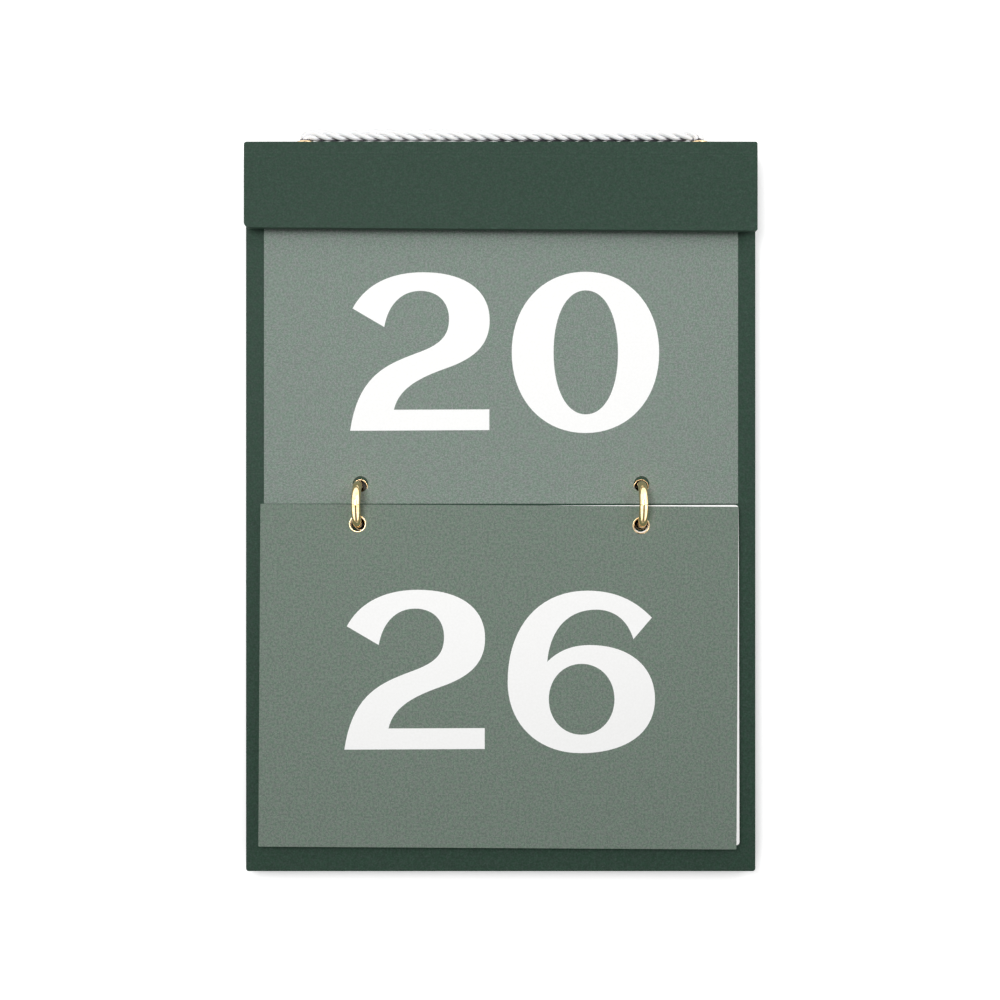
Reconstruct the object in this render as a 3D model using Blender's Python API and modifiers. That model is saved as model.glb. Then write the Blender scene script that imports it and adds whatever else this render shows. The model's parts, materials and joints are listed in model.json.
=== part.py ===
"""Flip calendar: a leatherette case with two gold rings, a block of leaves, a top flap and a cord handle.

The case lies on its back. X runs to the right, Y to the calendar's top and Z out of the pages. The origin is
the middle of the back face. Lengths are in metres.
"""

import math

import bmesh
import bpy
from mathutils import Matrix, Vector

# Case, in the plane of the pages
CASE_WIDTH = 0.148
CASE_BOTTOM = -0.1056
CASE_TOP = 0.0996
SPINE_FACE = 0.1045
CORNER_RADIUS = 0.0008
TURN_IN = 0.012

# Case, layer by layer from the back
GLUE_GAP = 0.00005
COVER_THICKNESS = 0.0005
BACK_BOARD_THICKNESS = 0.0012
CORE_THICKNESS = 0.0038
FRONT_BOARD_THICKNESS = 0.0013
EDGE_ROUNDING = 0.00045

# Leaves
LEAF_WIDTH = 0.1376
LEAF_HEIGHT = 0.0985
LEAF_THICKNESS = 0.00018
LEAF_GAP = 0.00006
LEAF_CORNER = 0.0003
LEAF_REST_GAP = 0.00015
MONTHS = 12
MONTH_MIDDLE = -0.00035
MONTH_EDGE_FROM_AXIS = 0.0003
MONTH_HEIGHT = 0.09795
MONTH_CORNER = 0.0009
MONTH_SHIFT = 0.00012
MONTH_SHIFT_STEP = 2.4
MONTH_SLANT = math.radians(0.15)
MONTH_TILT = math.radians(0.03)
MONTH_TILT_STEP = 1.7
HOLE_SPACING = 0.0816
HOLE_FROM_AXIS = 0.00575
HOLE_RADIUS = 0.00225
UPPER_LEAF_EDGE_FROM_AXIS = 0.00005
UPPER_LEAF_SHIFT = (0.0001, 0.00025)
CARD_THICKNESS = 0.00025
CARD_TILT = math.radians(-0.35)
CARD_SHIFT = -0.00035
CARD_EDGE_FROM_AXIS = 0.00017
CARD_HEIGHT = 0.09865
CARD_HOLE_RADIUS = 0.00235

# Rings
RING_SPACING = 0.0819
RING_MIDDLE = -0.00025
RING_Y = 0.0009
RING_RADIUS = 0.0056
WIRE_RADIUS = 0.00135
SEAM_GAP = 0.00015
SEAM_STRAIGHT = 0.0004
TONGUE_RADIUS = 0.0005
TONGUE_LENGTH = 0.0007
SOCKET_CLEARANCE = 0.0002
KNUCKLE_RADIUS = 0.0015
KNUCKLE_RELIEF = 0.0002
KNUCKLE_HALF_WIDTH = 0.00055
CHEEK_GAP = 0.0001
PIN_RADIUS = 0.0005
PIN_LENGTH = 0.0026
PIN_CLEARANCE = 0.00012

# Eyelets that the rings pass through
BOARD_EYELET_FROM_AXIS = 0.0052
BOARD_EYELET_BORE = 0.00185
BOARD_EYELET_FLANGE = 0.00215
BOARD_EYELET_DEPTH = 0.00035
BOARD_EYELET_PROUD = 0.00005
CARD_EYELET_BORE = 0.00205
CARD_EYELET_FLANGE = 0.00248
CARD_EYELET_PROUD = 0.0002
EYELET_WALL = 0.0002
EYELET_CLEARANCE = 0.0001
FLANGE_THICKNESS = 0.0003
BOARD_HOLE_FROM_AXIS = 0.0046
BOARD_HOLE_RADIUS = 0.0025
WELL_WIDTH = 0.005
WELL_LENGTH = 0.0142
WELL_CORNER = 0.00245

# Flap and spine
FLAP_WIDTH = 0.1466
FLAP_HEIGHT_LEFT = 0.0244
FLAP_HEIGHT_RIGHT = 0.0254
FLAP_CORNERS = (0.0014, 0.0005, 0.0006, 0.0008)
FLAP_BOARD_THICKNESS = 0.001
FLAP_ROOM = 0.0003
FLAP_TURN_IN = 0.006
CREASE_FROM_SPINE = 0.0036
CREASE_RADIUS = 0.002
CREASE_DEPTH = 0.0001
LINING_THICKNESS = 0.0002
SPINE_WIDTH = 0.1464
SPINE_BOARD_THICKNESS = 0.0015
SPINE_BELOW_FLAP = 0.0002

# Cord handle
CORD_RADIUS = 0.00175
CORD_LEFT_X = -0.05655
CORD_RIGHT_X = 0.05745
CORD_HEIGHT = 0.009
CORD_OFF_SPINE = 0.00335
CORD_BEND = 0.0021
CORD_RUN_IN = 0.005
CORD_WAVE = 0.00008
CORD_STEPS = 60
CORD_EYELET_BORE = 0.00205
CORD_EYELET_FLANGE = 0.0027
CORD_EYELET_RIM = 0.0013
BAR_RADIUS = 0.0008
BAR_LENGTH = 0.009
BAR_Y = 0.1013
TOUCH_GAP = 0.0003

# Heights that follow from the layers above
CASE_BACK = COVER_THICKNESS + GLUE_GAP
BACK_BOARD_Z = CASE_BACK + COVER_THICKNESS + GLUE_GAP
CORE_Z = BACK_BOARD_Z + BACK_BOARD_THICKNESS + GLUE_GAP
FRONT_BOARD_Z = CORE_Z + CORE_THICKNESS + GLUE_GAP
COVER_INSIDE_Z = FRONT_BOARD_Z + FRONT_BOARD_THICKNESS + GLUE_GAP
CASE_FRONT = COVER_INSIDE_Z + COVER_THICKNESS
LEAF_PITCH = LEAF_THICKNESS + LEAF_GAP
CARD_PITCH = CARD_THICKNESS + CARD_EYELET_PROUD + LEAF_GAP
BLOCK_DEPTH = MONTHS * LEAF_PITCH + CARD_PITCH + LEAF_THICKNESS
BLOCK_Z = CASE_FRONT + LEAF_REST_GAP
RING_Z = BLOCK_Z + BLOCK_DEPTH / 2
CARD_Z = BLOCK_Z + MONTHS * LEAF_PITCH
FLAP_INSIDE = BLOCK_Z + BLOCK_DEPTH + FLAP_ROOM
FLAP_TURN_IN_Z = FLAP_INSIDE + LINING_THICKNESS + GLUE_GAP
FLAP_BOARD_Z = FLAP_TURN_IN_Z + COVER_THICKNESS + GLUE_GAP
FLAP_SHEET_Z = FLAP_BOARD_Z + FLAP_BOARD_THICKNESS + GLUE_GAP
FLAP_FRONT = FLAP_SHEET_Z + COVER_THICKNESS
SPINE_TOP = FLAP_INSIDE - SPINE_BELOW_FLAP
SPINE_BOARD_FACE = SPINE_FACE - COVER_THICKNESS - GLUE_GAP
SPINE_INSIDE = SPINE_BOARD_FACE - SPINE_BOARD_THICKNESS

RING_AXIS = Vector((0, RING_Y, RING_Z))
FLAP_AXIS = Vector((0, SPINE_FACE, FLAP_FRONT))
RING_SIDES = {"left": -1, "right": 1}
RING_HALVES = {"upper": 1, "lower": -1}

CORNER_STEPS = 4
HOLE_STEPS = 20
TURN_STEPS = 24
CREASE_STEPS = 72
ROUND_STEPS = 16
ARC_STEPS = 20
RING_SIDES_RESOLUTION = 4
CORD_SIDES_RESOLUTION = 2
BEVEL_SEGMENTS = 3
WELD_DISTANCE = 1e-6
SMOOTH_ANGLE = math.radians(35)

# Finishes: colour, roughness and how metallic they are
LEATHERETTE = ((0.036, 0.073, 0.055), 0.55, 0.0)
LINING_CLOTH = ((0.036, 0.073, 0.055), 0.7, 0.0)
PRINTED_PAPER = ((0.19, 0.225, 0.195), 0.75, 0.0)
WHITE_PAPER = ((0.86, 0.86, 0.84), 0.8, 0.0)
GREY_BOARD = ((0.32, 0.30, 0.27), 0.9, 0.0)
GOLD = ((0.86, 0.62, 0.28), 0.18, 1.0)
WHITE_CORD = ((0.88, 0.87, 0.86), 0.7, 0.0)


def clear_scene():
    """Empty the scene of its objects."""
    for found in list(bpy.data.objects):
        bpy.data.objects.remove(found, do_unlink=True)


def new_collection(name):
    """A new collection in the scene."""
    made = bpy.data.collections.new(name)
    bpy.context.scene.collection.children.link(made)
    return made


def new_material(name, finish):
    """A Principled material in one finish."""
    colour, roughness, metallic = finish
    made = bpy.data.materials.new(name)
    made.use_nodes = True
    shader = made.node_tree.nodes["Principled BSDF"]
    shader.inputs["Base Color"].default_value = (*colour, 1)
    shader.inputs["Roughness"].default_value = roughness
    shader.inputs["Metallic"].default_value = metallic
    made.diffuse_color = (*colour, 1)
    return made


def weld(mesh):
    """Join loose caps to their walls and turn every face outwards."""
    shape = bmesh.new()
    shape.from_mesh(mesh)
    bmesh.ops.remove_doubles(shape, verts=shape.verts, dist=WELD_DISTANCE)
    bmesh.ops.recalc_face_normals(shape, faces=shape.faces)
    shape.to_mesh(mesh)
    shape.free()
    return mesh


def mesh_of_curve(curve):
    """The closed mesh of a curve, whose own data is removed."""
    holder = bpy.data.objects.new(curve.name, curve)
    bpy.context.scene.collection.objects.link(holder)
    graph = bpy.context.evaluated_depsgraph_get()
    mesh = bpy.data.meshes.new_from_object(holder.evaluated_get(graph))
    bpy.data.objects.remove(holder, do_unlink=True)
    bpy.data.curves.remove(curve)
    return weld(mesh)


def rounded_outline(corners, *radii):
    """A polygon's outline with its corners rounded by arcs, of one radius or of one each."""
    points = []
    for i, corner in enumerate(corners):
        radius = radii[i % len(radii)]
        here = Vector(corner)
        back = (Vector(corners[i - 1]) - here).normalized()
        ahead = (Vector(corners[(i + 1) % len(corners)]) - here).normalized()
        half = back.angle(ahead) / 2
        centre = here + (back + ahead).normalized() * radius / math.sin(half)
        start = here + back * radius / math.tan(half) - centre
        sweep = start.angle_signed(here + ahead * radius / math.tan(half) - centre)
        for step in range(CORNER_STEPS + 1):
            turned = start.copy()
            turned.rotate(Matrix.Rotation(-sweep * step / CORNER_STEPS, 2))
            points.append(centre + turned)
    return points


def rectangle(left, right, bottom, top):
    """A rectangle's corners, anticlockwise."""
    return [(left, bottom), (right, bottom), (right, top), (left, top)]


def circle(x, y, radius, steps=HOLE_STEPS):
    """A round outline."""
    turns = [2 * math.pi * step / steps for step in range(steps)]
    return [(x + radius * math.cos(a), y + radius * math.sin(a)) for a in turns]


def plate_mesh(name, outlines, bottom, top):
    """A flat plate between two heights: the first outline is its edge, the others are holes."""
    curve = bpy.data.curves.new(name, "CURVE")
    curve.dimensions = "2D"
    curve.fill_mode = "BOTH"
    curve.extrude = (top - bottom) / 2
    for outline in outlines:
        spline = curve.splines.new("POLY")
        spline.points.add(len(outline) - 1)
        for point, (x, y) in zip(spline.points, outline):
            point.co = (x, y, 0, 1)
        spline.use_cyclic_u = True
    mesh = mesh_of_curve(curve)
    mesh.transform(Matrix.Translation((0, 0, (bottom + top) / 2)))
    return mesh


def box_mesh(name, low, high):
    """A box between two opposite corners."""
    low, high = Vector(low), Vector(high)
    shape = bmesh.new()
    bmesh.ops.create_cube(shape, size=1)
    bmesh.ops.scale(shape, vec=high - low, verts=shape.verts)
    bmesh.ops.translate(shape, vec=(low + high) / 2, verts=shape.verts)
    mesh = bpy.data.meshes.new(name)
    shape.to_mesh(mesh)
    shape.free()
    return mesh


def cylinder_mesh(name, radius, start, end, steps=ROUND_STEPS):
    """A round bar from one point to another."""
    start, end = Vector(start), Vector(end)
    turn = (end - start).to_track_quat("Z", "Y").to_matrix().to_4x4()
    shape = bmesh.new()
    bmesh.ops.create_cone(
        shape,
        cap_ends=True,
        segments=steps,
        radius1=radius,
        radius2=radius,
        depth=(end - start).length,
        matrix=Matrix.Translation((start + end) / 2) @ turn,
    )
    mesh = bpy.data.meshes.new(name)
    shape.to_mesh(mesh)
    shape.free()
    return mesh


def tube_mesh(name, points, radius, resolution):
    """A round wire along points, with closed ends."""
    curve = bpy.data.curves.new(name, "CURVE")
    curve.dimensions = "3D"
    curve.bevel_depth = radius
    curve.bevel_resolution = resolution
    curve.use_fill_caps = True
    spline = curve.splines.new("POLY")
    spline.points.add(len(points) - 1)
    for point, place in zip(spline.points, points):
        point.co = (*place, 1)
    return mesh_of_curve(curve)


class Builder:
    """Makes the calendar's objects in their collections."""

    def __init__(self):
        self.parts = new_collection("flip_calendar")
        self.cutters = new_collection("cutters")

    def part(self, name, mesh, finish, origin=(0, 0, 0), smooth=False):
        """A sub-part with its own material, its origin moved to a point such as one on its joint's axis."""
        mesh.name = name
        mesh.transform(Matrix.Translation(-Vector(origin)))
        mesh.materials.clear()
        mesh.materials.append(new_material(name, finish))
        made = bpy.data.objects.new(name, mesh)
        made.location = origin
        self.parts.objects.link(made)
        if smooth:
            mesh.shade_smooth()
            mesh.set_sharp_from_angle(angle=SMOOTH_ANGLE)
        return made

    def shape_with(self, target, mesh, operation="DIFFERENCE"):
        """Cut a mesh out of a part, or join it on, with a Boolean modifier."""
        tool = bpy.data.objects.new(mesh.name, mesh)
        tool.display_type = "WIRE"
        tool.hide_render = True
        self.cutters.objects.link(tool)
        step = target.modifiers.new(mesh.name, "BOOLEAN")
        step.operation = operation
        step.object = tool

    def turned(self, name, profile, placing, finish):
        """A turned piece: a closed profile of radius and height, spun about its own Z axis."""
        mesh = bpy.data.meshes.new(name)
        edges = [(i, (i + 1) % len(profile)) for i in range(len(profile))]
        mesh.from_pydata([(radius, 0, height) for radius, height in profile], edges, [])
        made = self.part(name, mesh, finish, smooth=True)
        made.matrix_world = placing
        spin = made.modifiers.new("spin", "SCREW")
        spin.steps = TURN_STEPS
        spin.render_steps = TURN_STEPS
        spin.use_merge_vertices = True
        spin.merge_threshold = WELD_DISTANCE
        return made


def round_edges(part):
    """Soften a piece's sharp edges."""
    bevel = part.modifiers.new("edge_rounding", "BEVEL")
    bevel.width = EDGE_ROUNDING
    bevel.segments = BEVEL_SEGMENTS
    bevel.limit_method = "ANGLE"
    bevel.angle_limit = SMOOTH_ANGLE


def inset(outline_box, amount):
    """A left, right, bottom, top box drawn in on every side."""
    left, right, bottom, top = outline_box
    return left + amount, right - amount, bottom + amount, top - amount


def ring_x(sign):
    """How far to the right a ring stands, the rings being a little off the middle."""
    return RING_MIDDLE + sign * RING_SPACING / 2


def hole_places():
    """Each ring hole's side, half, x and direction from the ring axis."""
    for side, sign in RING_SIDES.items():
        for half, way in RING_HALVES.items():
            yield side, half, sign * HOLE_SPACING / 2, way


def build_case(builder):
    """The case: three boards in a wrapped leatherette cover, on a back sheet that runs on to the spine."""
    face = (-CASE_WIDTH / 2, CASE_WIDTH / 2, CASE_BOTTOM, CASE_TOP)
    inside = inset(face, COVER_THICKNESS)
    boards = inset(face, COVER_THICKNESS + GLUE_GAP)
    board_edge = rounded_outline(rectangle(*boards), CORNER_RADIUS / 2)

    sheet = inset((face[0], face[1], CASE_BOTTOM, SPINE_FACE), 2 * COVER_THICKNESS)
    outline = rounded_outline(rectangle(*sheet), CORNER_RADIUS)
    builder.part("back_sheet", plate_mesh("back_sheet", [outline], 0, COVER_THICKNESS), LEATHERETTE)

    outline = rounded_outline(rectangle(*face), CORNER_RADIUS)
    wrap = plate_mesh("case_cover", [outline], CASE_BACK, CASE_FRONT)
    cover = builder.part("case_cover", wrap, LEATHERETTE)
    round_edges(cover)
    hollow = rounded_outline(rectangle(*inside), CORNER_RADIUS / 2)
    low = CASE_BACK + COVER_THICKNESS
    builder.shape_with(cover, plate_mesh("case_hollow", [hollow], low, COVER_INSIDE_Z))
    window = rounded_outline(rectangle(*inset(face, TURN_IN)), CORNER_RADIUS)
    builder.shape_with(cover, plate_mesh("turn_in_window", [window], 0, low + GLUE_GAP))

    back = plate_mesh("back_board", [board_edge], BACK_BOARD_Z, BACK_BOARD_Z + BACK_BOARD_THICKNESS)
    builder.part("back_board", back, GREY_BOARD)

    barrel = BOARD_EYELET_BORE + EYELET_WALL + EYELET_CLEARANCE
    seat = BOARD_EYELET_FLANGE + EYELET_CLEARANCE
    seat_floor = CASE_FRONT + BOARD_EYELET_PROUD - FLANGE_THICKNESS - EYELET_CLEARANCE
    board_holes = []
    for side, half, x, way in hole_places():
        board_holes.append(circle(x, RING_Y + way * BOARD_HOLE_FROM_AXIS, BOARD_HOLE_RADIUS, TURN_STEPS))
        y = RING_Y + way * BOARD_EYELET_FROM_AXIS
        hole = circle(x, y, barrel, TURN_STEPS)
        builder.shape_with(cover, plate_mesh(f"hole_{side}_{half}", [hole], FRONT_BOARD_Z, FLAP_FRONT))
        rim = circle(x, y, seat, TURN_STEPS)
        builder.shape_with(cover, plate_mesh(f"seat_{side}_{half}", [rim], seat_floor, FLAP_FRONT))

    wells = []
    for sign in RING_SIDES.values():
        x = ring_x(sign)
        ends = rectangle(
            x - WELL_WIDTH / 2, x + WELL_WIDTH / 2, RING_Y - WELL_LENGTH / 2, RING_Y + WELL_LENGTH / 2
        )
        wells.append(rounded_outline(ends, WELL_CORNER))
    core = plate_mesh("core_board", [board_edge, *wells], CORE_Z, CORE_Z + CORE_THICKNESS)
    builder.part("core_board", core, GREY_BOARD)

    top = FRONT_BOARD_Z + FRONT_BOARD_THICKNESS
    front = plate_mesh("front_board", [board_edge, *board_holes], FRONT_BOARD_Z, top)
    builder.part("front_board", front, GREY_BOARD)


def eyelet_profile(bore, flange, proud, depth, rim=FLANGE_THICKNESS):
    """An eyelet's section: a rounded flange that stands proud of its face, and a barrel below it."""
    wall = bore + EYELET_WALL
    soft = min(rim, flange - bore) / 3
    return [
        (bore + soft, proud),
        (flange - soft, proud),
        (flange, proud - soft),
        (flange, proud - rim),
        (wall, proud - rim),
        (wall, -depth),
        (bore, -depth),
        (bore, proud - soft),
    ]


def build_board_eyelets(builder):
    """Four eyelets pressed into the case's face, where the rings go in."""
    profile = eyelet_profile(BOARD_EYELET_BORE, BOARD_EYELET_FLANGE, BOARD_EYELET_PROUD, BOARD_EYELET_DEPTH)
    for side, half, x, way in hole_places():
        place = Matrix.Translation((x, RING_Y + way * BOARD_EYELET_FROM_AXIS, CASE_FRONT))
        builder.turned(f"board_eyelet_{side}_{half}", profile, place, GOLD)


def build_spine(builder):
    """The strip at the top edge: a board in a leatherette channel, pierced for the cord."""
    half = SPINE_WIDTH / 2
    low, high = (-half, SPINE_INSIDE, CASE_BACK), (half, SPINE_FACE, SPINE_TOP)
    cover = builder.part("spine_cover", box_mesh("spine_cover", low, high), LEATHERETTE)
    round_edges(cover)
    half -= COVER_THICKNESS
    channel = box_mesh(
        "spine_channel",
        (-half, SPINE_INSIDE - COVER_THICKNESS, CASE_BACK - COVER_THICKNESS),
        (half, SPINE_FACE - COVER_THICKNESS, SPINE_TOP + COVER_THICKNESS),
    )
    builder.shape_with(cover, channel)
    half -= GLUE_GAP
    low, high = (-half, SPINE_INSIDE, CASE_BACK), (half, SPINE_BOARD_FACE, SPINE_TOP)
    board = builder.part("spine_board", box_mesh("spine_board", low, high), GREY_BOARD)

    barrel = CORD_EYELET_BORE + EYELET_WALL + EYELET_CLEARANCE
    profile = eyelet_profile(
        CORD_EYELET_BORE, CORD_EYELET_FLANGE, CORD_EYELET_RIM, SPINE_FACE - SPINE_INSIDE,
        rim=CORD_EYELET_RIM - GLUE_GAP,
    )
    facing_up = Matrix.Rotation(math.radians(-90), 4, "X")
    for side, x in (("left", CORD_LEFT_X), ("right", CORD_RIGHT_X)):
        for pierced in (cover, board):
            start, end = (x, SPINE_INSIDE - barrel, CORD_HEIGHT), (x, SPINE_FACE + barrel, CORD_HEIGHT)
            name = f"{pierced.name}_hole_{side}"
            builder.shape_with(pierced, cylinder_mesh(name, barrel, start, end, TURN_STEPS))
        place = Matrix.Translation((x, SPINE_FACE, CORD_HEIGHT)) @ facing_up
        builder.turned(f"cord_eyelet_{side}", profile, place, GOLD)


def build_flap(builder):
    """The flap: a board wrapped in creased leatherette, turned in under a lining and hinged at the spine."""
    half = FLAP_WIDTH / 2

    def outline(amount):
        corners = [
            (-half + amount, SPINE_FACE - FLAP_HEIGHT_LEFT + amount),
            (half - amount, SPINE_FACE - FLAP_HEIGHT_RIGHT + amount),
            (half - amount, SPINE_FACE - amount),
            (-half + amount, SPINE_FACE - amount),
        ]
        return rounded_outline(corners, *(max(radius - amount, radius / 2) for radius in FLAP_CORNERS))

    wrap = plate_mesh("flap_cover", [outline(0)], FLAP_TURN_IN_Z, FLAP_FRONT)
    cover = builder.part("flap_cover", wrap, LEATHERETTE, origin=FLAP_AXIS)
    round_edges(cover)
    hollow = [outline(COVER_THICKNESS)]
    low = FLAP_TURN_IN_Z + COVER_THICKNESS
    builder.shape_with(cover, plate_mesh("flap_hollow", hollow, low, FLAP_SHEET_Z))
    window = [outline(FLAP_TURN_IN)]
    builder.shape_with(cover, plate_mesh("flap_window", window, FLAP_INSIDE, low + GLUE_GAP))
    crease_y, crease_z = SPINE_FACE - CREASE_FROM_SPINE, FLAP_FRONT + CREASE_RADIUS - CREASE_DEPTH
    ends = [(way * FLAP_WIDTH, crease_y, crease_z) for way in (-1, 1)]
    builder.shape_with(cover, cylinder_mesh("flap_crease", CREASE_RADIUS, *ends, CREASE_STEPS))

    edge = [outline(COVER_THICKNESS + GLUE_GAP)]
    board = plate_mesh("flap_board", edge, FLAP_BOARD_Z, FLAP_BOARD_Z + FLAP_BOARD_THICKNESS)
    builder.part("flap_board", board, GREY_BOARD, origin=FLAP_AXIS)
    edge = [outline(FLAP_TURN_IN / 2)]
    lining = plate_mesh("flap_lining", edge, FLAP_INSIDE, FLAP_INSIDE + LINING_THICKNESS)
    builder.part("flap_lining", lining, LINING_CLOTH, origin=FLAP_AXIS)


def half_ring(builder, side, half, x, way):
    """Half of a ring, from the joint at its front to its knuckle on the pin at the back."""
    name = f"ring_{side}_{half}"
    pin = Vector((x, RING_Y, RING_Z - RING_RADIUS))
    seam = Vector((x, RING_Y, RING_Z + RING_RADIUS))
    out = Vector((0, way, 0))
    arc = [seam + out * SEAM_GAP / 2, seam + out * SEAM_STRAIGHT]
    for step in range(1, ARC_STEPS + 1):
        turn = math.pi * (0.5 - step / ARC_STEPS)
        arc.append((x, RING_Y + way * RING_RADIUS * math.cos(turn), RING_Z + RING_RADIUS * math.sin(turn)))
    wire = tube_mesh(name, arc, WIRE_RADIUS, RING_SIDES_RESOLUTION)
    made = builder.part(name, wire, GOLD, origin=pin, smooth=True)

    def across(label, radius, start, end):
        along = Vector((1, 0, 0))
        return cylinder_mesh(f"{name}_{label}", radius, pin + along * start, pin + along * end)

    relief = KNUCKLE_RADIUS + KNUCKLE_RELIEF
    tongue_half = KNUCKLE_HALF_WIDTH
    cheek = tongue_half + CHEEK_GAP
    far = 2 * WIRE_RADIUS
    if half == "upper":
        for sign in (1, -1):
            builder.shape_with(made, across(f"relief_{sign}", relief, sign * tongue_half, sign * far))
        builder.shape_with(made, across("knuckle", KNUCKLE_RADIUS, -tongue_half, tongue_half), "UNION")
        tongue = cylinder_mesh(
            f"{name}_tongue", TONGUE_RADIUS, seam + out * TONGUE_LENGTH, seam - out * TONGUE_LENGTH
        )
        builder.shape_with(made, tongue, "UNION")
    else:
        builder.shape_with(made, across("relief", relief, -cheek, cheek))
        for sign in (1, -1):
            ear = across(f"cheek_{sign}", KNUCKLE_RADIUS, sign * cheek, sign * WIRE_RADIUS)
            builder.shape_with(made, ear, "UNION")
        radius = TONGUE_RADIUS + SOCKET_CLEARANCE
        socket_end = seam + out * (TONGUE_LENGTH + TOUCH_GAP)
        socket = cylinder_mesh(f"{name}_socket", radius, seam - out * TONGUE_LENGTH, socket_end)
        builder.shape_with(made, socket)
    builder.shape_with(made, across("bore", PIN_RADIUS + PIN_CLEARANCE, -far, far))


def build_rings(builder):
    """Two rings, each of two halves on a hinge pin, closed through the leaves and the board."""
    for side, sign in RING_SIDES.items():
        for half, way in RING_HALVES.items():
            half_ring(builder, side, half, ring_x(sign), way)
        pin = Vector((ring_x(sign), RING_Y, RING_Z - RING_RADIUS))
        reach = Vector((PIN_LENGTH / 2, 0, 0))
        name = f"ring_pin_{side}"
        mesh = cylinder_mesh(name, PIN_RADIUS, pin - reach, pin + reach)
        builder.part(name, mesh, GOLD, smooth=True)


def leaf_mesh(name, way, near, bottom, thickness, hole_radius, height=LEAF_HEIGHT, corner=LEAF_CORNER):
    """A leaf that hangs from the rings on one side of their axis, near being its gap from the axis."""
    edge = LEAF_WIDTH / 2
    first, last = sorted((way * near, way * (near + height)))
    outlines = [rounded_outline(rectangle(-edge, edge, first, last), corner)]
    outlines += [
        circle(sign * HOLE_SPACING / 2, way * HOLE_FROM_AXIS, hole_radius) for sign in RING_SIDES.values()
    ]
    mesh = plate_mesh(name, outlines, bottom, bottom + thickness)
    mesh.transform(Matrix.Translation((0, RING_Y, 0)))
    return mesh


def build_leaves(builder):
    """Twelve month leaves, the front card with its eyelets, and the leaf that is turned up under the flap."""
    for month in range(MONTHS, 0, -1):
        name = f"month_leaf_{month:02d}"
        bottom = BLOCK_Z + (MONTHS - month) * LEAF_PITCH
        sizes = (bottom, LEAF_THICKNESS, HOLE_RADIUS, MONTH_HEIGHT, MONTH_CORNER)
        mesh = leaf_mesh(name, -1, MONTH_EDGE_FROM_AXIS, *sizes)
        leaf = builder.part(name, mesh, WHITE_PAPER, origin=RING_AXIS)
        leaf.location.x += MONTH_MIDDLE + MONTH_SHIFT * math.sin(MONTH_SHIFT_STEP * month)
        leaf.rotation_euler.z = MONTH_SLANT + MONTH_TILT * math.cos(MONTH_TILT_STEP * month)

    sizes = (CARD_Z, CARD_THICKNESS, CARD_HOLE_RADIUS, CARD_HEIGHT)
    mesh = leaf_mesh("front_card", -1, CARD_EDGE_FROM_AXIS, *sizes)
    card = builder.part("front_card", mesh, PRINTED_PAPER, origin=RING_AXIS)
    card.location.x += CARD_SHIFT
    card.rotation_euler.z = CARD_TILT
    profile = eyelet_profile(
        CARD_EYELET_BORE, CARD_EYELET_FLANGE, CARD_EYELET_PROUD, CARD_THICKNESS,
        rim=CARD_EYELET_PROUD - GLUE_GAP,
    )
    face = Vector((0, 0, CARD_Z + CARD_THICKNESS - RING_Z))
    for side, sign in RING_SIDES.items():
        hole = Vector((sign * HOLE_SPACING / 2, -HOLE_FROM_AXIS, 0)) + face
        eyelet = builder.turned(f"card_eyelet_{side}", profile, Matrix.Translation(hole), GOLD)
        eyelet.parent = card

    sizes = (BLOCK_Z, LEAF_THICKNESS, HOLE_RADIUS)
    mesh = leaf_mesh("upper_leaf", 1, UPPER_LEAF_EDGE_FROM_AXIS, *sizes)
    mesh.transform(Matrix.Translation((*UPPER_LEAF_SHIFT, 0)))
    builder.part("upper_leaf", mesh, PRINTED_PAPER, origin=RING_AXIS)


def cord_route():
    """Points along the cord: up through one eyelet, over along the spine, and down through the other."""
    start = BAR_Y + BAR_RADIUS + TOUCH_GAP
    top = SPINE_FACE + CORD_OFF_SPINE
    left, right = CORD_LEFT_X, CORD_RIGHT_X
    shoulder = CORD_BEND * (1 - math.sqrt(0.5))
    route = [
        (left, start),
        (left, top - CORD_BEND),
        (left + shoulder, top - shoulder),
        (left + CORD_BEND, top),
        (left + CORD_RUN_IN, top),
        (left + (right - left) / 3, top + CORD_WAVE),
        (right - (right - left) / 3, top - CORD_WAVE),
        (right - CORD_RUN_IN, top),
        (right - CORD_BEND, top),
        (right - shoulder, top - shoulder),
        (right, top - CORD_BEND),
        (right, start),
    ]
    return [Vector((x, y, CORD_HEIGHT)) for x, y in route]


def smooth_points(route, steps):
    """Points read from a Bezier curve through a route, closer together where it bends."""
    curve = bpy.data.curves.new("route", "CURVE")
    curve.dimensions = "3D"
    curve.resolution_u = steps // (len(route) - 1)
    spline = curve.splines.new("BEZIER")
    spline.bezier_points.add(len(route) - 1)
    for point, place in zip(spline.bezier_points, route):
        point.co = place
        point.handle_left_type = "AUTO"
        point.handle_right_type = "AUTO"
    mesh = mesh_of_curve(curve)
    points = [vertex.co.copy() for vertex in mesh.vertices]
    bpy.data.meshes.remove(mesh)
    return points


def build_cord(builder):
    """The cord handle and the bar on each of its ends, behind the spine."""
    points = smooth_points(cord_route(), CORD_STEPS)
    length = sum((b - a).length for a, b in zip(points, points[1:]))
    print(f"cord length {length * 1000:.1f} mm")
    tube = tube_mesh("cord_handle", points, CORD_RADIUS, CORD_SIDES_RESOLUTION)
    builder.part("cord_handle", tube, WHITE_CORD, smooth=True)
    for side, x in (("left", CORD_LEFT_X), ("right", CORD_RIGHT_X)):
        name = f"cord_bar_{side}"
        ends = [(x + way * BAR_LENGTH / 2, BAR_Y, CORD_HEIGHT) for way in (-1, 1)]
        builder.part(name, cylinder_mesh(name, BAR_RADIUS, *ends), GOLD, smooth=True)


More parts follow.
